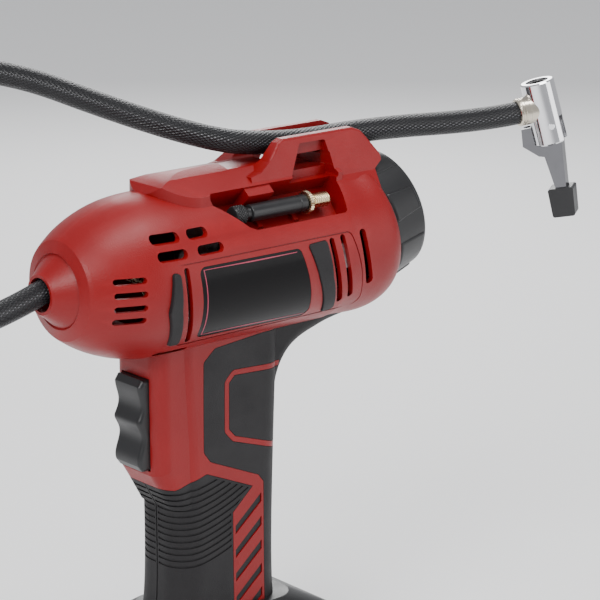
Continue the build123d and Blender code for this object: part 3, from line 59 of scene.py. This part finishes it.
camera_data = bpy.data.cameras.new("camera")
camera_data.lens = CAMERA_LENS
camera_data.sensor_width = SENSOR_WIDTH
camera_data.clip_start = 0.05
camera = bpy.data.objects.new("camera", camera_data)
bpy.context.collection.objects.link(camera)
right = Vector((0.74963, -0.66182, 0.00650))
up = Vector((0.17151, 0.20374, 0.96388))
back = right.cross(up).normalized()
camera.matrix_world = Matrix((
    (right.x, up.x, back.x, CAMERA_AT.x),
    (right.y, up.y, back.y, CAMERA_AT.y),
    (right.z, up.z, back.z, CAMERA_AT.z),
    (0.0, 0.0, 0.0, 1.0),
))
bpy.context.scene.camera = camera

world = bpy.data.worlds.new("studio")
world.use_nodes = True
backdrop = world.node_tree.nodes["Background"]
backdrop.inputs["Color"].default_value = (0.96, 0.97, 1.0, 1.0)
backdrop.inputs["Strength"].default_value = 0.64
bpy.context.scene.world = world


def area_light(name, place, target, size, power):
    """A rectangular lamp that faces its target, with its size in metres and power in watts."""
    data = bpy.data.lights.new(name, "AREA")
    data.shape = "RECTANGLE"
    data.size = size[0]
    data.size_y = size[1]
    data.energy = power
    lamp = bpy.data.objects.new(name, data)
    lamp.location = place
    lamp.rotation_euler = (Vector(target) - Vector(place)).to_track_quat("-Z", "Y").to_euler()
    bpy.context.collection.objects.link(lamp)


area_light("key", (-1.3, -0.7, 1.25), (0, 0, 0.24), (0.7, 0.7), 22.0)
area_light("top", (0.1, -0.3, 1.5), (0, 0, 0.26), (0.9, 0.5), 14.0)
area_light("fill", (0.9, -1.3, 0.5), (0, 0, 0.2), (0.9, 0.9), 6.0)
area_light("rim", (0.9, 1.0, 0.9), (0.05, 0, 0.24), (0.6, 0.9), 10.0)


# ---------------------------------------------------------------- materials
class Finish:
    """A node material that is built up step by step around one Principled shader."""

    def __init__(self, name, colour, roughness, **sockets):
        self.material = bpy.data.materials.new(name)
        self.material.use_nodes = True
        self.tree = self.material.node_tree
        self.shader = self.tree.nodes["Principled BSDF"]
        self.shader.inputs["Base Color"].default_value = (*colour, 1.0)
        self.shader.inputs["Roughness"].default_value = roughness
        for socket, value in sockets.items():
            self.shader.inputs[socket.replace("_", " ")].default_value = value
        self.material.diffuse_color = (*colour, 1.0)
        self.bump = None

    def new(self, kind, **settings):
        node = self.tree.nodes.new(kind)
        for key, value in settings.items():
            setattr(node, key, value)
        return node

    def link(self, source, target):
        self.tree.links.new(source, target)

    def place(self):
        return self.new("ShaderNodeTexCoord").outputs["Object"]

    def noise(self, scale, detail=3.0, roughness=0.6, place=None):
        node = self.new("ShaderNodeTexNoise")
        node.inputs["Scale"].default_value = scale
        node.inputs["Detail"].default_value = detail
        node.inputs["Roughness"].default_value = roughness
        self.link(place or self.place(), node.inputs["Vector"])
        return node.outputs["Fac"]

    def spread(self, value, low, high, start=0.3, end=0.7):
        node = self.new("ShaderNodeMapRange")
        node.inputs["From Min"].default_value = start
        node.inputs["From Max"].default_value = end
        node.inputs["To Min"].default_value = low
        node.inputs["To Max"].default_value = high
        self.link(value, node.inputs["Value"])
        return node.outputs["Result"]

    def mix(self, value, first, second):
        node = self.new("ShaderNodeMix", data_type="RGBA")
        self.link(value, node.inputs["Factor"])
        for socket, colour in ((node.inputs["A"], first), (node.inputs["B"], second)):
            if isinstance(colour, tuple):
                socket.default_value = (*colour, 1.0)
            else:
                self.link(colour, socket)
        return node.outputs["Result"]

    def math(self, operation, first, second=None):
        node = self.new("ShaderNodeMath", operation=operation)
        for socket, value in zip(node.inputs, (first, second)):
            if value is None:
                continue
            if isinstance(value, (int, float)):
                socket.default_value = value
            else:
                self.link(value, socket)
        return node.outputs["Value"]

    def set_colour(self, output):
        self.link(output, self.shader.inputs["Base Color"])

    def set_roughness(self, output):
        self.link(output, self.shader.inputs["Roughness"])

    def add_bump(self, height, strength, distance):
        node = self.new("ShaderNodeBump")
        node.inputs["Strength"].default_value = strength
        node.inputs["Distance"].default_value = distance
        self.link(height, node.inputs["Height"])
        if self.bump is not None:
            self.link(self.bump, node.inputs["Normal"])
        self.bump = node.outputs["Normal"]
        self.link(self.bump, self.shader.inputs["Normal"])

    def rubbed(self, amount):
        """How much each place is rubbed: up to amount on the edges, and nothing elsewhere."""
        geometry = self.new("ShaderNodeNewGeometry")
        edge = self.spread(geometry.outputs["Pointiness"], 0.0, amount, 0.52, 0.62)
        return self.math("MULTIPLY", edge, self.spread(self.noise(160.0), 0.4, 1.0))


def moulded(name, colour, roughness, grain, grain_size, shade=0.12, **sockets):
    """Moulded plastic or rubber: eroded grain, slow colour drift and uneven gloss."""
    finish = Finish(name, colour, roughness, **sockets)
    drift = finish.spread(finish.noise(22.0, 4.0), 0.0, 1.0)
    darker = tuple(channel * (1.0 - shade) for channel in colour)
    paler = tuple(min(1.0, channel * (1.0 + shade) + 0.001) for channel in colour)
    body = finish.mix(drift, darker, paler)
    worn = tuple(min(1.0, channel * 1.5 + 0.01) for channel in colour)
    finish.set_colour(finish.mix(finish.rubbed(0.35), body, worn))
    finish.set_roughness(finish.spread(finish.noise(60.0), roughness - 0.05, roughness + 0.06))
    finish.add_bump(finish.noise(grain_size, 2.0, 0.5), grain, 0.0004)
    return finish


def metal(name, colour, roughness, brushed=0.0, **sockets):
    """Bare metal: slow colour drift, uneven gloss and, where asked, a fine bump."""
    finish = Finish(name, colour, roughness, Metallic=1.0, **sockets)
    finish.set_colour(finish.mix(
        finish.spread(finish.noise(35.0), 0.0, 1.0), tuple(c * 0.9 for c in colour), colour))
    finish.set_roughness(
        finish.spread(finish.noise(240.0), max(0.02, roughness - 0.04), roughness + 0.07))
    if brushed:
        finish.add_bump(finish.noise(900.0, 2.0), brushed, 0.0002)
    return finish


RED = (0.20, 0.0005, 0.0016)
finishes = {
    "red_plastic": moulded("red_plastic", RED, 0.40, 0.30, 1500.0, 0.07, Specular_IOR_Level=0.35),
    "soft_grip": moulded(
        "soft_grip", (0.009, 0.008, 0.009), 0.58, 0.35, 1900.0, 0.15, Specular_IOR_Level=0.3),
    "satin_black": moulded(
        "satin_black", (0.010, 0.010, 0.011), 0.36, 0.12, 1700.0, Specular_IOR_Level=0.4),
    "black_plastic": moulded(
        "black_plastic", (0.013, 0.013, 0.014), 0.5, 0.3, 1400.0, Specular_IOR_Level=0.35),
    "dial_face": moulded("dial_face", (0.84, 0.84, 0.82), 0.5, 0.03, 1500.0, 0.02),
    "needle_red": moulded("needle_red", (0.62, 0.02, 0.015), 0.3, 0.03, 1500.0, 0.03),
    "cell_wrap": moulded("cell_wrap", (0.03, 0.22, 0.17), 0.32, 0.05, 900.0),
    "seal_rubber": moulded("seal_rubber", (0.015, 0.015, 0.015), 0.55, 0.25, 1800.0),
    "steel": metal("steel", (0.52, 0.52, 0.53), 0.32, 0.2),
    "magnet": metal("magnet", (0.09, 0.09, 0.1), 0.5, 0.3),
    "aluminium": metal("aluminium", (0.66, 0.66, 0.67), 0.42, 0.35),
    "copper": metal("copper", (0.75, 0.38, 0.2), 0.3, 0.1),
    "brass": metal("brass", (0.70, 0.58, 0.38), 0.24, 0.12),
    "chrome": metal("chrome", (0.78, 0.78, 0.80), 0.07),
    "nickel_brass": metal("nickel_brass", (0.66, 0.60, 0.50), 0.2, 0.1),
}

gloss = Finish("gloss_panel", (0.002, 0.0015, 0.002), 0.2, Specular_IOR_Level=0.12)
gloss.set_roughness(gloss.spread(gloss.noise(45.0, 4.0), 0.16, 0.28))
gloss.add_bump(gloss.noise(700.0), 0.02, 0.0002)
finishes["gloss_panel"] = gloss

lens = Finish("clear_lens", (0.95, 0.97, 0.98), 0.03, Transmission_Weight=1.0, IOR=1.46, Alpha=0.35)
lens.set_roughness(lens.spread(lens.noise(90.0), 0.02, 0.07))
finishes["clear_lens"] = lens


def braid_finish():
    """Diagonal strands of black braid that cross, with pale flecks painted in stripes along the
    hose as highlight glints.
    """
    finish = Finish("braided_hose", (0.008, 0.008, 0.009), 0.38, Specular_IOR_Level=0.35)
    where = finish.new("ShaderNodeSeparateXYZ")
    uv = finish.new("ShaderNodeUVMap", uv_map="UVMap")
    finish.link(uv.outputs["UV"], where.inputs["Vector"])
    around, along = where.outputs["X"], where.outputs["Y"]
    waves = []
    for direction in (1.0, -1.0):
        turned = finish.math("ADD", finish.math("MULTIPLY", around, direction), along)
        waves.append(finish.math("PINGPONG", turned, 0.5))
    strands = finish.math("MULTIPLY", finish.math("MAXIMUM", waves[0], waves[1]), 2.0)
    over = finish.math("GREATER_THAN", waves[0], waves[1])
    # Painted highlight: pale flecks, kept to stripes along the hose, stand in for glints of light
    # on the braid.
    painted_glint_fleck = finish.math("MULTIPLY", finish.math("GREATER_THAN", waves[0], 0.36),
                        finish.math("LESS_THAN", waves[1], 0.2))
    quarter = finish.math("FRACT", finish.math("MULTIPLY", around, 0.25))
    glint_stripes = finish.math("LESS_THAN", quarter, 0.3)
    dark = finish.mix(over, (0.005, 0.005, 0.006), (0.013, 0.013, 0.015))
    finish.set_colour(finish.mix(finish.math("MULTIPLY", painted_glint_fleck, glint_stripes), dark, (0.13, 0.13, 0.14)))
    finish.set_roughness(finish.spread(strands, 0.5, 0.28, 0.2, 1.0))
    finish.add_bump(strands, 0.8, 0.0006)
    return finish


finishes["braided_hose"] = braid_finish()
# Painted reflection: the lever's bright chrome darkened to stand in for the dark surroundings it
# reflects.
chrome_painted_dark = metal("chrome_painted_dark", (0.16, 0.16, 0.17), 0.16)

for entry in frame["record"]["subparts"]:
    cad_object = nodes[entry["node"]]
    finish = finishes[entry["material_slot"]]
    # The lever takes the chrome painted dark, a painted dark reflection.
    if entry["node"] == "chuck_lever":
        finish = chrome_painted_dark
    for material_slot in cad_object.material_slots:
        material_slot.material = finish.material


# ---------------------------------------------------------------- mesh helpers
def new_object(name, mesh, body="root", slot=None, smooth=True):
    """A mesh as an object that rides on a body, with the material of its slot."""
    piece = bpy.data.objects.new(name, mesh)
    bpy.context.collection.objects.link(piece)
    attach(piece, body)
    if slot:
        mesh.materials.append(finishes[slot].material)
    if smooth:
        for polygon in mesh.polygons:
            polygon.use_smooth = True
    return piece


def finished_mesh(shape, name):
    """A mesh made from a bmesh, with its faces turned outwards. The bmesh is freed."""
    bmesh.ops.recalc_face_normals(shape, faces=shape.faces)
    mesh = bpy.data.meshes.new(name)
    shape.to_mesh(mesh)
    shape.free()
    return mesh


def frames_along(points):
    """Right-angled frames carried along a line without twist."""
    tangents = []
    for index in range(len(points)):
        before = points[max(0, index - 1)]
        after = points[min(len(points) - 1, index + 1)]
        tangents.append((after - before).normalized())
    normal = tangents[0].orthogonal().normalized()
    frames = []
    for tangent in tangents:
        normal = (normal - tangent * normal.dot(tangent)).normalized()
        frames.append((normal, tangent.cross(normal)))
    return frames


def tube_mesh(name, points, radius, sides, strands, pitch):
    """A closed tube along points, with UVs that count braid strands round and pitches along."""
    shape = bmesh.new()
    uv_layer = shape.loops.layers.uv.new("UVMap")
    rings = []
    travelled = [0.0]
    for before, after in zip(points, points[1:]):
        travelled.append(travelled[-1] + (after - before).length)
    for point, (normal, side) in zip(points, frames_along(points)):
        rings.append([
            shape.verts.new(point + (normal * math.cos(angle) + side * math.sin(angle)) * radius)
            for angle in (2.0 * math.pi * number / sides for number in range(sides))
        ])
    for row in range(len(rings) - 1):
        for number in range(sides):
            after = (number + 1) % sides
            face = shape.faces.new((rings[row][number], rings[row][after],
                                    rings[row + 1][after], rings[row + 1][number]))
            face.smooth = True
            corners = ((number, row), (number + 1, row), (number + 1, row + 1), (number, row + 1))
            for loop, (column, line) in zip(face.loops, corners):
                loop[uv_layer].uv = (strands * column / sides, travelled[line] / pitch)
    for ring_of_ends in (rings[0], list(reversed(rings[-1]))):
        shape.faces.new(list(reversed(ring_of_ends)))
    return finished_mesh(shape, name)


# ---------------------------------------------------------------- hose
HOSE_DIAMETER = 0.0118    # in metres
HOSE_ROUTE = [
    over_axis(-95.34, 0, 5.19),
    over_axis(-167.1, 0, -20.9),
    over_axis(-218.0, 51.4, 3.4),
    over_axis(-199.5, 103.6, 56.1),
    over_axis(-92.6, 107.6, 102.0),
    over_axis(-17.5, 0, 61.6),
    over_axis(38.0, 0, 51.3),
    over_axis(100.0, 0, 51.6),
    over_axis(149.899, -32.272, 54.324),
    over_axis(166.263, -39.218, 57.140),
]


def nurbs_points(name, route, resolution):
    """Points along an open NURBS spline that has the route as its control points."""
    data = bpy.data.curves.new(name, "CURVE")
    data.dimensions = "3D"
    spline = data.splines.new("NURBS")
    spline.points.add(len(route) - 1)
    for control, point in zip(spline.points, route):
        control.co = (*point, 1.0)
    spline.order_u = 3
    spline.use_endpoint_u = True
    data.resolution_u = resolution
    curve = bpy.data.objects.new(name, data)
    bpy.context.collection.objects.link(curve)
    mesh = bpy.data.meshes.new_from_object(curve)
    points = [vertex.co.copy() for vertex in mesh.vertices]
    bpy.data.objects.remove(curve)
    bpy.data.meshes.remove(mesh)
    return points


hose_line = nurbs_points("hose_route", HOSE_ROUTE, 40)
BRAID_SIDES = 40
BRAID_STRANDS = 24.0      # round the hose
BRAID_PITCH = 0.0031      # along the hose, in metres
hose_mesh = tube_mesh("braided_hose", hose_line, HOSE_DIAMETER / 2,
                      BRAID_SIDES, BRAID_STRANDS, BRAID_PITCH)
hose = new_object("braided_hose", hose_mesh, slot="braided_hose")
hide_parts("hose")

# ---------------------------------------------------------------- gauge
TILT = math.radians(12.4)
GAUGE_AT = over_axis(87.5, 0, 4.7)
GAUGE_OUT = Vector((math.cos(TILT), 0, math.sin(TILT)))
GAUGE_ACROSS = Vector((0, 1, 0))
GAUGE_UP = Vector((-math.sin(TILT), 0, math.cos(TILT)))
DIAL_FACE = 11.8          # printed face, in millimetres along the axis from the housing's rim
DIAL_START = 225.0        # where the scale starts, in degrees
DIAL_SWEEP = 270.0
DIAL_STEPS = 50
DIAL_TOP = 10             # the highest number
NUMBER_RADIUS = 16.6
NUMBER_SIZE = 4.4
LONG_MARK = (20.6, 0.7)   # radius where a mark starts, and its width
SHORT_MARK = (22.2, 0.3)
MARK_END = 24.2           # radius where every mark ends
MARK_HEIGHT = 0.08        # how far the printing stands up from the face


def gauge_point(radius, degrees, height):
    """A point round the gauge's axis: radius and height in millimetres, 0 degrees towards +Y."""
    angle = math.radians(degrees)
    outwards = GAUGE_ACROSS * math.cos(angle) + GAUGE_UP * math.sin(angle)
    return GAUGE_AT + outwards * (radius * MM) + GAUGE_OUT * (height * MM)


def slab(name, place, columns, rows):
    """A closed slab: place(u, v, 1) is its outer surface and place(u, v, 0) its inner one."""
    shape = bmesh.new()
    outer, inner = [
        [[shape.verts.new(place(column / columns, row / rows, side))
          for column in range(columns + 1)]
         for row in range(rows + 1)]
        for side in (1, 0)
    ]
    for row in range(rows):
        for column in range(columns):
            for grid in (outer, inner):
                shape.faces.new((grid[row][column], grid[row][column + 1],
                                 grid[row + 1][column + 1], grid[row + 1][column]))
    for column in range(columns):
        for row in (0, rows):
            shape.faces.new((outer[row][column], outer[row][column + 1],
                             inner[row][column + 1], inner[row][column]))
    for row in range(rows):
        for column in (0, columns):
            shape.faces.new((outer[row][column], outer[row + 1][column],
                             inner[row + 1][column], inner[row][column]))
    return finished_mesh(shape, name)


BEZEL_START = 0.2         # from the housing's rim to the bezel's cone
BEZEL_LENGTH = 20.4       # of the cone
BEZEL_RADIUS = 34.6       # at the cone's front end
BEZEL_LOSS = 2.4          # of radius, over the cone's length
PAD_COUNT = 8
PAD_STEP = 360.0 / PAD_COUNT
PAD_SHARE = 0.58          # part of each step that a pad covers
PAD_FIRST = 10.0          # where the first pad starts, in degrees
PAD_START = 1.2           # from the housing's rim to the pads
PAD_LENGTH = 18.6
PAD_TAPER = 2.4           # degrees that each side of a pad gives up towards the rear
PAD_RISE = 0.75           # above the bezel's cone
PAD_SINK = 0.4            # below it
PAD_EDGES = (0.07, 0.06)  # part of a pad's width, and of its length, that each rolled edge takes


def bezel_pad(name, start, end):
    """A raised pad on the bezel's cone, narrower towards the rear, with rolled edges."""
    def place(u, v, side):
        taper = PAD_TAPER * v
        degrees = start + taper + (end - start - 2 * taper) * u
        height = PAD_START + PAD_LENGTH * v
        cone = BEZEL_RADIUS - BEZEL_LOSS * (height - BEZEL_START) / BEZEL_LENGTH
        edge = min(u, 1 - u) / PAD_EDGES[0], min(v, 1 - v) / PAD_EDGES[1]
        rise = PAD_RISE * math.sin(min(1.0, *edge) * math.pi / 2)
        return gauge_point(cone + (rise if side else -PAD_SINK), degrees, height)
    return new_object(name, slab(name, place, 28, 24), slot="satin_black")


for number in range(PAD_COUNT):
    first = PAD_FIRST + PAD_STEP * number
    bezel_pad(f"bezel_pad_{number + 1}", first, first + PAD_SHARE * PAD_STEP)


def dial_bar(shape, degrees, inner, outer, width):
    """One printed mark on the dial, as a thin raised bar."""
    across = math.degrees(width / 2 / ((inner + outer) / 2))
    corners = [
        [gauge_point(radius, degrees + turn, DIAL_FACE + height)
         for radius, turn in ((inner, -across), (inner, across), (outer, across), (outer, -across))]
        for height in (0.0, MARK_HEIGHT)
    ]
    low_ring, high_ring = [[shape.verts.new(corner) for corner in ring] for ring in corners]
    shape.faces.new(high_ring)
    shape.faces.new(list(reversed(low_ring)))
    for index in range(4):
        after = (index + 1) % 4
        shape.faces.new((low_ring[index], low_ring[after], high_ring[after], high_ring[index]))


marks = bmesh.new()
for number in range(DIAL_STEPS + 1):
    inner, width = SHORT_MARK if number % (DIAL_STEPS // DIAL_TOP) else LONG_MARK
    dial_bar(marks, DIAL_START - DIAL_SWEEP / DIAL_STEPS * number, inner, MARK_END, width)
new_object("dial_marks", finished_mesh(marks, "dial_marks"), slot="satin_black", smooth=False)

for number in range(0, DIAL_TOP + 1, 2):
    text = bpy.data.curves.new(f"dial_number_{number}", "FONT")
    text.body = str(number)
    text.size = NUMBER_SIZE * MM
    text.extrude = 0.05 * MM
    text.align_x = "CENTER"
    text.align_y = "CENTER"
    label = bpy.data.objects.new(text.name, text)
    degrees = DIAL_START - DIAL_SWEEP / DIAL_TOP * number
    spot = gauge_point(NUMBER_RADIUS, degrees, DIAL_FACE + MARK_HEIGHT)
    label.matrix_world = Matrix((
        (GAUGE_ACROSS.x, GAUGE_UP.x, GAUGE_OUT.x, spot.x),
        (GAUGE_ACROSS.y, GAUGE_UP.y, GAUGE_OUT.y, spot.y),
        (GAUGE_ACROSS.z, GAUGE_UP.z, GAUGE_OUT.z, spot.z),
        (0.0, 0.0, 0.0, 1.0),
    ))
    bpy.context.collection.objects.link(label)
    text.materials.append(finishes["satin_black"].material)
    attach(label, "root")


# ---------------------------------------------------------------- turned parts
SHARP_ANGLE = math.radians(32)


def lathe(name, origin, axis, across, profile, steps, body="root", slot=None):
    """A turned solid. profile gives (distance along, radius) in millimetres, and a radius may be
    a function of the turn in radians, for knurls. A flat disc closes each end of the profile."""
    shape = bmesh.new()
    side = axis.cross(across)
    rings = []
    for along, radius in profile:
        ring_verts = []
        for number in range(steps):
            angle = 2 * math.pi * number / steps
            reach = radius(angle) if callable(radius) else radius
            ring_verts.append(shape.verts.new(
                origin + axis * (along * MM)
                + (across * math.cos(angle) + side * math.sin(angle)) * (reach * MM)
            ))
        rings.append(ring_verts)
    for before, after in zip(rings, rings[1:]):
        for number in range(steps):
            other = (number + 1) % steps
            shape.faces.new((before[number], before[other], after[other], after[number]))
    shape.faces.new(list(reversed(rings[0])))
    shape.faces.new(rings[-1])
    piece = new_object(name, finished_mesh(shape, name), body, slot)
    piece.data.set_sharp_from_angle(angle=SHARP_ANGLE)
    return piece


BAY_LEAN = math.radians(41.6)
BAY_OUT = Vector((0, -math.sin(BAY_LEAN), math.cos(BAY_LEAN)))
ADAPTER_REACH = 36.0      # from the barrel's axis to the adapters'
ADAPTER_AT = over_axis(0, 0, 0) + BAY_OUT * (ADAPTER_REACH * MM)
ALONG_X = Vector((1, 0, 0))


def knurl(along, radius, depth, count, pitch):
    """Radius of a diamond knurl at a place along the part, as a function of the turn."""
    def reach(angle):
        first = math.sin(count * angle + 2 * math.pi * along / pitch)
        second = math.sin(count * angle - 2 * math.pi * along / pitch)
        return radius - depth + depth * max(first, second)
    return reach


head = [(-13.0, 3.4), (-12.6, 4.3), (-11.9, 4.7)]
head += [(-11.6 + 0.2 * step, knurl(0.2 * step, 4.9, 0.28, 22, 1.5)) for step in range(26)]
head += [(-6.3, 4.6), (-5.5, 3.9), (-5.2, 3.1), (-4.0, 2.8), (-2.6, 3.1), (-2.3, 4.0), (-1.9, 4.3)]
head += [(27.6, 4.3), (27.9, 4.05), (28.7, 4.05), (29.0, 4.3), (32.6, 4.3), (33.0, 4.0)]
head += [(33.0, 2.65), (5.0, 2.6)]
nozzle = lathe("nozzle_adapter_turned", ADAPTER_AT, ALONG_X, BAY_OUT, head, 132,
               "adapters", "satin_black")
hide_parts("nozzle_adapter")


def notched(radius, depth, count):
    """Radius of a rim with shallow notches, as a function of the turn."""
    return lambda angle: radius - depth * (0.5 + 0.5 * math.cos(count * angle))


stem = [(8.0, 0.4), (8.2, 1.2), (31.0, 1.2), (31.0, 2.55), (33.3, 2.55), (33.3, 5.1)]
stem += [(33.5, notched(5.7, 0.35, 30)), (35.4, notched(5.7, 0.35, 30)), (35.9, 5.0), (36.6, 4.4)]
for turn in range(8):
    start = 36.8 + 1.3 * turn
    stem += [(start, 3.7), (start + 0.4, 3.15), (start + 0.7, 3.15), (start + 1.1, 3.7)]
stem += [(47.2, 3.5), (47.5, 3.0), (47.5, 0.7), (38.0, 0.6)]
needle_stem = lathe("needle_adapter_turned", ADAPTER_AT, ALONG_X, BAY_OUT, stem, 120,
                    "adapters", "brass")
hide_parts("needle_adapter")

FERRULE_RISE = math.radians(9.0)
FERRULE_HEADING = math.radians(23.0)
FERRULE_DIR = Vector((
    math.cos(FERRULE_RISE) * math.cos(FERRULE_HEADING),
    -math.cos(FERRULE_RISE) * math.sin(FERRULE_HEADING),
    math.sin(FERRULE_RISE),
))
FERRULE_AT = HOSE_ROUTE[-1]
sleeve = [(-0.5, 5.95), (-0.5, 6.5), (-0.1, 7.0)]
for ridge in range(2):
    start = 0.5 + 1.5 * ridge
    sleeve += [(start, 7.2), (start + 0.3, 6.95), (start + 0.6, 6.95), (start + 0.9, 7.2)]
sleeve += [(5.2, 7.2), (5.4, 7.05), (5.4, 5.95)]
crimp = lathe("ferrule_crimp", FERRULE_AT, FERRULE_DIR, FERRULE_DIR.orthogonal().normalized(),
              sleeve, 72, "root", "nickel_brass")

# ---------------------------------------------------------------- badge trim
BADGE_OUTLINE = [(17.8, 9.4), (-45.3, 10.1), (-40.1, -26.9), (32.0, -28.7)]
BADGE_CENTRE = Vector((-9.0, -9.0))
TRIM_INSET = 0.075        # share of the way from each corner to the centre
TRIM_WIDTH = 0.6
TRIM_RADII = (39.7, 39.95)
TRIM_STEPS = 24           # along each edge
TRIM = Finish("badge_trim", (0.30, 0.015, 0.05), 0.35)
TRIM.set_roughness(TRIM.spread(TRIM.noise(80.0), 0.28, 0.42))
TRIM.add_bump(TRIM.noise(900.0), 0.05, 0.0002)


def on_barrel(x, z, radius, far):
    """A point at a radius from the barrel's axis, on the near side or on the far one."""
    y = -math.sqrt(radius ** 2 - z ** 2)
    return over_axis(x, -y if far else y, z)


def badge_trim(name, far):
    """A fine line let into the badge along its top, front and lower edges."""
    inner = [Vector(point).lerp(BADGE_CENTRE, TRIM_INSET) for point in BADGE_OUTLINE]
    path = []
    for first, second in zip(inner, inner[1:]):
        path += [first.lerp(second, step / TRIM_STEPS) for step in range(TRIM_STEPS)]
    path.append(inner[-1])

    def place(u, v, side):
        index = min(int(round(u * (len(path) - 1))), len(path) - 1)
        point = path[index]
        inwards = (BADGE_CENTRE - point).normalized()
        shifted = point + inwards * (TRIM_WIDTH * v)
        return on_barrel(shifted.x, shifted.y, TRIM_RADII[side], far)
    piece = new_object(name, slab(name, place, len(path) - 1, 1), smooth=False)
    piece.data.materials.append(TRIM.material)


badge_trim("badge_trim_left", False)
badge_trim("badge_trim_right", True)

# ---------------------------------------------------------------- floor
floor_mesh = bpy.data.meshes.new("floor")
floor_mesh.from_pydata([(-6, -6, 0), (6, -6, 0), (6, 6, 0), (-6, 6, 0)], [], [(0, 1, 2, 3)])
floor = bpy.data.objects.new("floor", floor_mesh)
bpy.context.collection.objects.link(floor)
floor_finish = Finish("floor", (0.93, 0.93, 0.93), 0.7)
floor_finish.add_bump(floor_finish.noise(30.0), 0.02, 0.001)
floor_mesh.materials.append(floor_finish.material)
